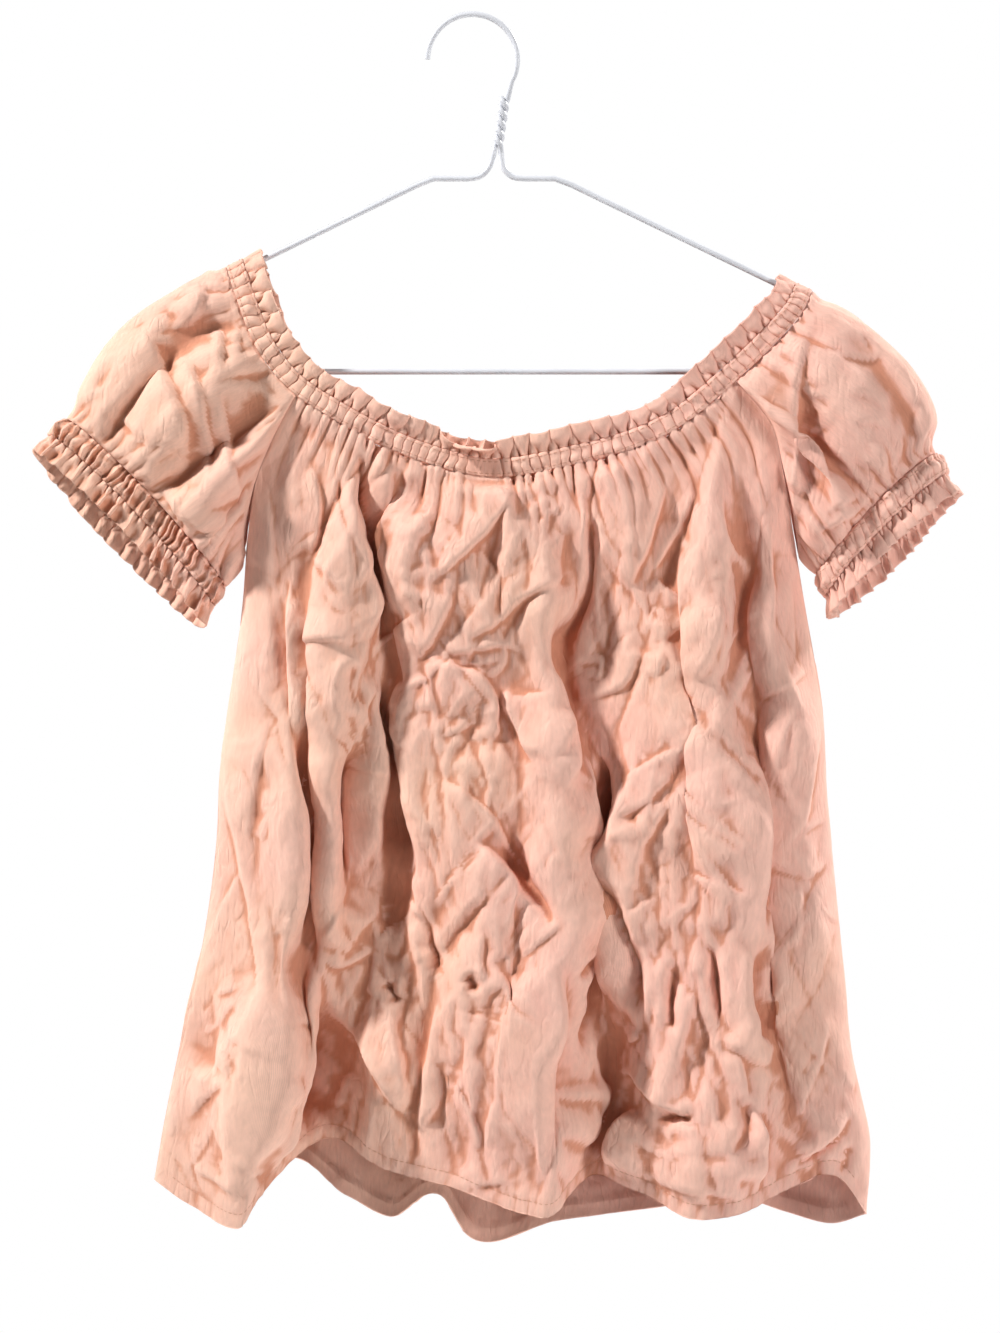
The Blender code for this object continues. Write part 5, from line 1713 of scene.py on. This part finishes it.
class GARMENT_OT_hanger(bpy.types.Operator):
    """One white wire: hook, down the twist, left arm, bar, right arm and up the twist again"""

    bl_idname = "garment.hanger"
    bl_label = "Wire Hanger"

    def twist_strand(self, phase):
        steps = int(16 * TWIST_TURNS)
        share = np.linspace(0, 1, steps + 1)
        top = np.array([TWIST_TOP[0], 0.0, TWIST_TOP[1]])
        foot = np.array([TWIST_FOOT[0], 0.0, TWIST_FOOT[1]])
        axis = unit(foot - top)
        sideways = np.array([-axis[2], 0.0, axis[0]])
        angle = 2 * math.pi * TWIST_TURNS * share + phase
        radius = (WIRE + TWIST_GAP) / 2
        ring = np.cos(angle)[:, None] * sideways + np.sin(angle)[:, None] * np.array([0.0, 1.0, 0.0])
        return top + (foot - top) * share[:, None] + radius * ring

    def arm_points(self, start, length, side):
        way = np.array([side * math.cos(ARM_SLOPE), -math.sin(ARM_SLOPE)])
        start = np.array(start)
        end = start + way * length
        arm = [start + way * length * share for share in ARM_STEPS]
        corner = np.array([end[0] + side * CORNER_REACH, (end[1] + BAR_Z) / 2])
        foot = np.array([end[0], BAR_Z])
        bend = smooth_line((end, corner + (0, 6), corner - (0, 6), foot), 18)
        return [tuple(point) for point in arm + list(bend[1:])]

    def execute(self, context):
        angles = np.radians(np.linspace(HOOK_OPEN_ANGLE, HOOK_STEM_ANGLE, 40))
        centre_x, centre_z = HOOK_CENTRE
        hook = [
            (centre_x + HOOK_RADIUS * math.cos(angle), 0.0, centre_z + HOOK_RADIUS * math.sin(angle))
            for angle in angles
        ]
        down = self.twist_strand(0.0)
        up = self.twist_strand(math.pi)[::-1]
        left = self.arm_points(ARM_START_LEFT, ARM_LENGTH_LEFT, -1)
        right = self.arm_points(ARM_START_RIGHT, ARM_LENGTH_RIGHT, 1)
        neck_left = [tuple(p) for p in smooth_line(BEND_LEFT, 14)[1:]] + [SHELF_END_LEFT]
        neck_right = [tuple(p) for p in smooth_line(BEND_RIGHT, 14)[1:]] + [SHELF_END_RIGHT]
        bar = [(left[-1][0] + (right[-1][0] - left[-1][0]) * share, BAR_Z) for share in BAR_STEPS]
        flat = neck_left + left + bar + right[::-1] + neck_right[::-1]
        route = hook + [tuple(p) for p in down] + [(x, 0.0, z) for x, z in flat] + [tuple(p) for p in up]
        curve = bpy.data.curves.new("hanger_wire", "CURVE")
        curve.dimensions = "3D"
        curve.bevel_depth = WIRE / 2 * MM
        curve.bevel_resolution = 5
        curve.use_fill_caps = True
        spline = curve.splines.new("POLY")
        spline.points.add(len(route) - 1)
        for knot, place in zip(spline.points, route):
            knot.co = (place[0] * MM, place[1] * MM, place[2] * MM, 1.0)
        spline.use_smooth = True
        curve.materials.append(material("white coated wire", make_wire, context.scene.garment_wire))
        made = bpy.data.objects.new("hanger_wire", curve)
        context.scene.collection.objects.link(made)
        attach(made, "root")
        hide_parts("hanger")
        return {"FINISHED"}


class GARMENT_OT_front(bpy.types.Operator):
    """The front, from the neck casing to its stitched hem, with its large folds and creases"""

    bl_idname = "garment.front"
    bl_label = "Front"

    def execute(self, context):
        panel = Panel(NeckRing(), True)
        placed = [(kind, wide, rise, photo_to_mm(route)) for kind, wide, rise, route in FRONT_CREASES]
        small = scattered_creases(FRONT_SMALL_CREASES, *SMALL_CREASE_BOX, seed=11)
        creases = placed + small
        made = build_panel("front_panel", "front", panel, FRONT_PITCH, creases, roughness=1.0, seed=5)
        return {"FINISHED"}


class GARMENT_OT_back(bpy.types.Operator):
    """The back, a little longer at the hem than the front"""

    bl_idname = "garment.back"
    bl_label = "Back"

    def execute(self, context):
        panel = Panel(NeckRing(), False)
        small = scattered_creases(BACK_SMALL_CREASES, *SMALL_CREASE_BOX, seed=23)
        large = scattered_creases(
            BACK_LARGE_CREASES, *LARGE_CREASE_BOX, seed=24, long=(60, 190), rise=(2.5, 6.0)
        )
        made = build_panel("back_panel", "back", panel, BACK_PITCH, large + small, roughness=0.75, seed=8)
        return {"FINISHED"}


class GARMENT_OT_sleeves(bpy.types.Operator):
    """Both short raglan sleeves, gathered at the neck and at the cuff"""

    bl_idname = "garment.sleeves"
    bl_label = "Sleeves"

    def build(self, side, sleeve, cuff, placed, cut_area, seed, roughness):
        columns, steps = (grid_count(size, SLEEVE_PITCH) for size in SLEEVE_SIZE)
        u, w = np.arange(columns) / columns, np.linspace(0, 1, steps + 1)
        grid, start_out, end_out = sleeve.grid(u, w)
        outward = grid - grid.mean(axis=0, keepdims=True)
        normal, _ = facing_out(grid, True, outward)
        uu, ww = np.meshgrid(u, w, indexing="ij")
        step = np.linalg.norm(np.diff(grid, axis=1), axis=-1)
        down = np.concatenate([np.zeros((columns, 1)), np.cumsum(step, axis=1)], axis=1)
        up = down[:, -1:] - down
        seam = lengths_along(np.concatenate([grid[:, 0], grid[:1, 0]]))
        at_neck = 1 - ease((np.abs((uu + 0.5) % 1.0 - 0.5) - 0.17) / 0.05)
        along = np.broadcast_to(seam[:-1, None], uu.shape)
        pleat = seam[-1] / SLEEVE_NECK_PLEATS
        pleats = gathers(along, down, SLEEVE_NECK_PLEATS, seed, pleat, height=2.0, reach=45.0) * at_neck
        pleat, around = cuff.length / SLEEVE_CUFF_PLEATS, uu * cuff.length
        pleats += gathers(around, up, SLEEVE_CUFF_PLEATS, seed + 1, pleat, height=1.8, reach=40.0)
        flat = np.stack([(uu + 0.5) % 1.0 * 0.5 * (seam[-1] + cuff.length), -down], axis=-1)
        small = scattered_creases(SLEEVE_SMALL_CREASES, *SLEEVE_CREASE_BOX, seed + 3)
        relief, _ = crease_relief(flat, small, seed + 4)
        relief += roughness * crumple(flat[..., 0], flat[..., 1], seed + 5, CRUMPLES)
        pressed = roughness * crumple(flat[..., 0], flat[..., 1], seed + 8, PRESSED_CRUMPLES)
        pressed = pressed * in_patches(flat[..., 0], flat[..., 1], seed + 9)
        front = ease(np.sin(2 * math.pi * uu) / 0.25)
        routes = [(kind, wide, rise, photo_to_mm(route)) for kind, wide, rise, route in placed]
        hand, shift = crease_relief(grid[..., [0, 2]], routes, seed + 6)
        inside = ease(ww / 0.08) * ease((1 - ww) / 0.08)
        dressed = grid + normal * (relief * inside + pleats)[..., None]
        dressed[:, 0], dressed[:, -1] = grid[:, 0], grid[:, -1]
        hold = np.broadcast_to(ease(ww / 0.1) * ease((1 - ww) / 0.1), uu.shape)
        dressed = settle_round(dressed, hold)
        dressed = dressed + normal * ((hand * front + pressed) * inside)[..., None]
        dressed[..., 0] += shift[..., 0] * front * inside
        dressed[..., 2] += shift[..., 1] * front * inside
        normal, facing = facing_out(dressed, True, outward)
        keep = (1 - ease((0.15 - np.abs(u - 0.5)) / 0.08))[:, None]
        normal[:, 0] = unit(start_out * keep + normal[:, 0] * (1 - keep))
        normal[:, -1] = end_out
        uv = np.stack([uu * seam[-1] * 1.4, down], axis=-1)
        # Where the cloth gets painted shade in its creases and a painted highlight on its ridges.
        painted_light_and_wear = painted_light_from_relief(dressed, normal, True)
        half = normal * cloth_thickness() / 2
        made = shell("sleeve_cloth_" + side, dressed + half, dressed - half, facing, True, cloth_material(),
                     "sleeve_" + side, uv, painted_light_and_wear)

    def execute(self, context):
        extras = {
            # creases, area of the cut in square metres, seed, roughness
            "left": (SLEEVE_CREASES_LEFT, 0.040, 40, 0.42),
            "right": (SLEEVE_CREASES_RIGHT, 0.034, 50, 0.20),
        }
        for side, sleeve, cuff in sleeve_shapes(NeckRing()):
            self.build(side, sleeve, cuff, *extras[side])
        return {"FINISHED"}


class GARMENT_OT_neck_bands(bpy.types.Operator):
    """The elastic neck channel and the small ruffle above it"""

    bl_idname = "garment.neck_bands"
    bl_label = "Neck Bands"

    def execute(self, context):
        ring = NeckRing()
        shoulders = (0.0, ring.known[ring.half])
        count = context.scene.garment_bands.neck_gathers
        casing = casing_lift(
            count, NECK_SEED, height=1.5, bulge=0.5, wild=1.3,
            gathered=lambda turn: gathered_share(ring, turn),
        )
        ribbon("neck_channel", "neck_casing", ring, -NECK_CASING, -SEAM_GAP / 2, count, NECK_FULLNESS,
               casing, shoulders=shoulders, stitched=STITCHED_BAND_ROWS)
        loop_at = front_turn(ring, NECK_LOOP_PLACE)
        ruffle = ruffle_lift(
            count, NECK_SEED, start_height=1.4, end_height=2.7, lean_out=4.2, loop_at=loop_at
        )
        ribbon("neck_frill", "neck_ruffle", ring, SEAM_GAP / 2, NECK_RUFFLE, count, NECK_FULLNESS, ruffle,
               shoulders=shoulders)
        return {"FINISHED"}


class GARMENT_OT_cuff_bands(bpy.types.Operator):
    """The elastic channel and the ruffle of each cuff"""

    bl_idname = "garment.cuff_bands"
    bl_label = "Cuff Bands"

    def execute(self, context):
        casing_end = SEAM_GAP + CUFF_CASING
        ruffle_start = casing_end + SEAM_GAP
        count = context.scene.garment_bands.cuff_gathers
        for number, (side, _, cuff) in enumerate(sleeve_shapes(NeckRing())):
            seed = 71 + 10 * number
            casing = casing_lift(count, seed, height=1.5, bulge=1.8, wild=2.0)
            ribbon("cuff_channel_" + side, "cuff_casing_" + side, cuff, SEAM_GAP, casing_end, count,
                   CUFF_FULLNESS, casing, stitched=STITCHED_BAND_ROWS)
            ruffle = ruffle_lift(count, seed, start_height=1.4, end_height=2.4, lean_out=2.2)
            ribbon("cuff_frill_" + side, "cuff_ruffle_" + side, cuff, ruffle_start,
                   ruffle_start + CUFF_RUFFLE, count, CUFF_FULLNESS, ruffle)
        return {"FINISHED"}


class GARMENT_OT_stage(bpy.types.Operator):
    """A pale floor, soft studio light and the camera at the photo's angle"""

    bl_idname = "garment.stage"
    bl_label = "Stage"

    def add_light(self, scene, name, place, aim, size, power):
        lamp = bpy.data.lights.new(name, "AREA")
        lamp.shape = "DISK"
        lamp.size = size
        lamp.energy = power
        made = bpy.data.objects.new(name, lamp)
        made.location = place
        made.rotation_euler = (Vector(aim) - Vector(place)).to_track_quat("-Z", "Y").to_euler()
        scene.collection.objects.link(made)

    def add_camera(self, scene, aim, distance):
        camera = bpy.data.cameras.new("camera")
        camera.sensor_fit = "VERTICAL"
        camera.sensor_height = SENSOR_HEIGHT
        camera.lens = camera.sensor_height * distance / (PHOTO_HEIGHT * PHOTO_SCALE * MM)
        camera.dof.use_dof = False
        eye = bpy.data.objects.new("camera", camera)
        eye.location = (aim[0], -distance, aim[2])
        eye.rotation_euler = (math.pi / 2, 0, 0)
        scene.collection.objects.link(eye)
        scene.camera = eye

    def add_floor(self, scene, height):
        floor_mesh = bpy.data.meshes.new("floor")
        turns = [2 * math.pi * number / FLOOR_SIDES for number in range(FLOOR_SIDES)]
        corners = [(FLOOR_RADIUS * math.cos(turn), FLOOR_RADIUS * math.sin(turn), 0.0) for turn in turns]
        floor_mesh.from_pydata(corners, [], [tuple(range(FLOOR_SIDES))])
        floor_mesh.materials.append(make_floor_paint())
        floor = bpy.data.objects.new("floor", floor_mesh)
        floor.location.z = height
        scene.collection.objects.link(floor)

    def add_world(self, scene):
        world = bpy.data.worlds.new("studio")
        scene.world = world
        world.use_nodes = True
        tree = world.node_tree
        rays = add_node(tree, "ShaderNodeLightPath", (-600, 0)).outputs["Is Camera Ray"]
        fill_inputs(tree, tree.nodes["Background"], {
            "Color": (1.0, 1.0, 1.0, 1.0),
            "Strength": map_range(tree, (-400, 0), rays, 0.0, 1.0, AMBIENT, 1.0),
        })

    def execute(self, context):
        scene = context.scene
        settings = scene.garment_stage
        centre_x = (PHOTO_WIDTH / 2 - PHOTO_ORIGIN[0]) * PHOTO_SCALE * MM
        centre_z = (PHOTO_ORIGIN[1] - PHOTO_HEIGHT / 2) * PHOTO_SCALE * MM
        aim = (centre_x, 0.0, centre_z)
        self.add_camera(scene, aim, settings.camera_distance)
        self.add_floor(scene, settings.floor_drop)
        for name, place, size, share in LIGHTS:
            self.add_light(scene, name, place, aim, size, settings.key_power * share)
        self.add_world(scene)
        scene.view_settings.view_transform = "Standard"
        return {"FINISHED"}


class GARMENT_PT_panel(bpy.types.Panel):
    """Lists the garment's pieces and what can be changed"""

    bl_idname = "GARMENT_PT_panel"
    bl_label = "Off-shoulder Top"
    bl_space_type = "VIEW_3D"
    bl_region_type = "UI"
    bl_category = "Garment"

    def draw(self, context):
        scene = context.scene
        for title, group in (
            ("Cloth", scene.garment_cloth),
            ("Bands", scene.garment_bands),
            ("Wire", scene.garment_wire),
            ("Stage", scene.garment_stage),
        ):
            box = self.layout.box()
            box.label(text=title)
            for key in group.__annotations__:
                box.prop(group, key)
        for operator in OPERATORS:
            self.layout.operator(operator.bl_idname)


SETTINGS = (
    ("garment_cloth", ClothSettings),
    ("garment_bands", BandSettings),
    ("garment_wire", WireSettings),
    ("garment_stage", StageSettings),
)
OPERATORS = (
    GARMENT_OT_stage,
    GARMENT_OT_hanger,
    GARMENT_OT_front,
    GARMENT_OT_back,
    GARMENT_OT_sleeves,
    GARMENT_OT_neck_bands,
    GARMENT_OT_cuff_bands,
)


def register():
    for _, group in SETTINGS:
        bpy.utils.register_class(group)
    for operator in OPERATORS:
        bpy.utils.register_class(operator)
    bpy.utils.register_class(GARMENT_PT_panel)
    for name, group in SETTINGS:
        setattr(bpy.types.Scene, name, bpy.props.PointerProperty(type=group))


def unregister():
    for name, _ in SETTINGS:
        delattr(bpy.types.Scene, name)
    bpy.utils.unregister_class(GARMENT_PT_panel)
    for operator in reversed(OPERATORS):
        bpy.utils.unregister_class(operator)
    for _, group in reversed(SETTINGS):
        bpy.utils.unregister_class(group)


def main():
    register()
    bpy.ops.garment.stage()
    bpy.ops.garment.hanger()
    bpy.ops.garment.front()
    bpy.ops.garment.back()
    bpy.ops.garment.sleeves()
    bpy.ops.garment.neck_bands()
    bpy.ops.garment.cuff_bands()


if __name__ == "__main__":
    main()
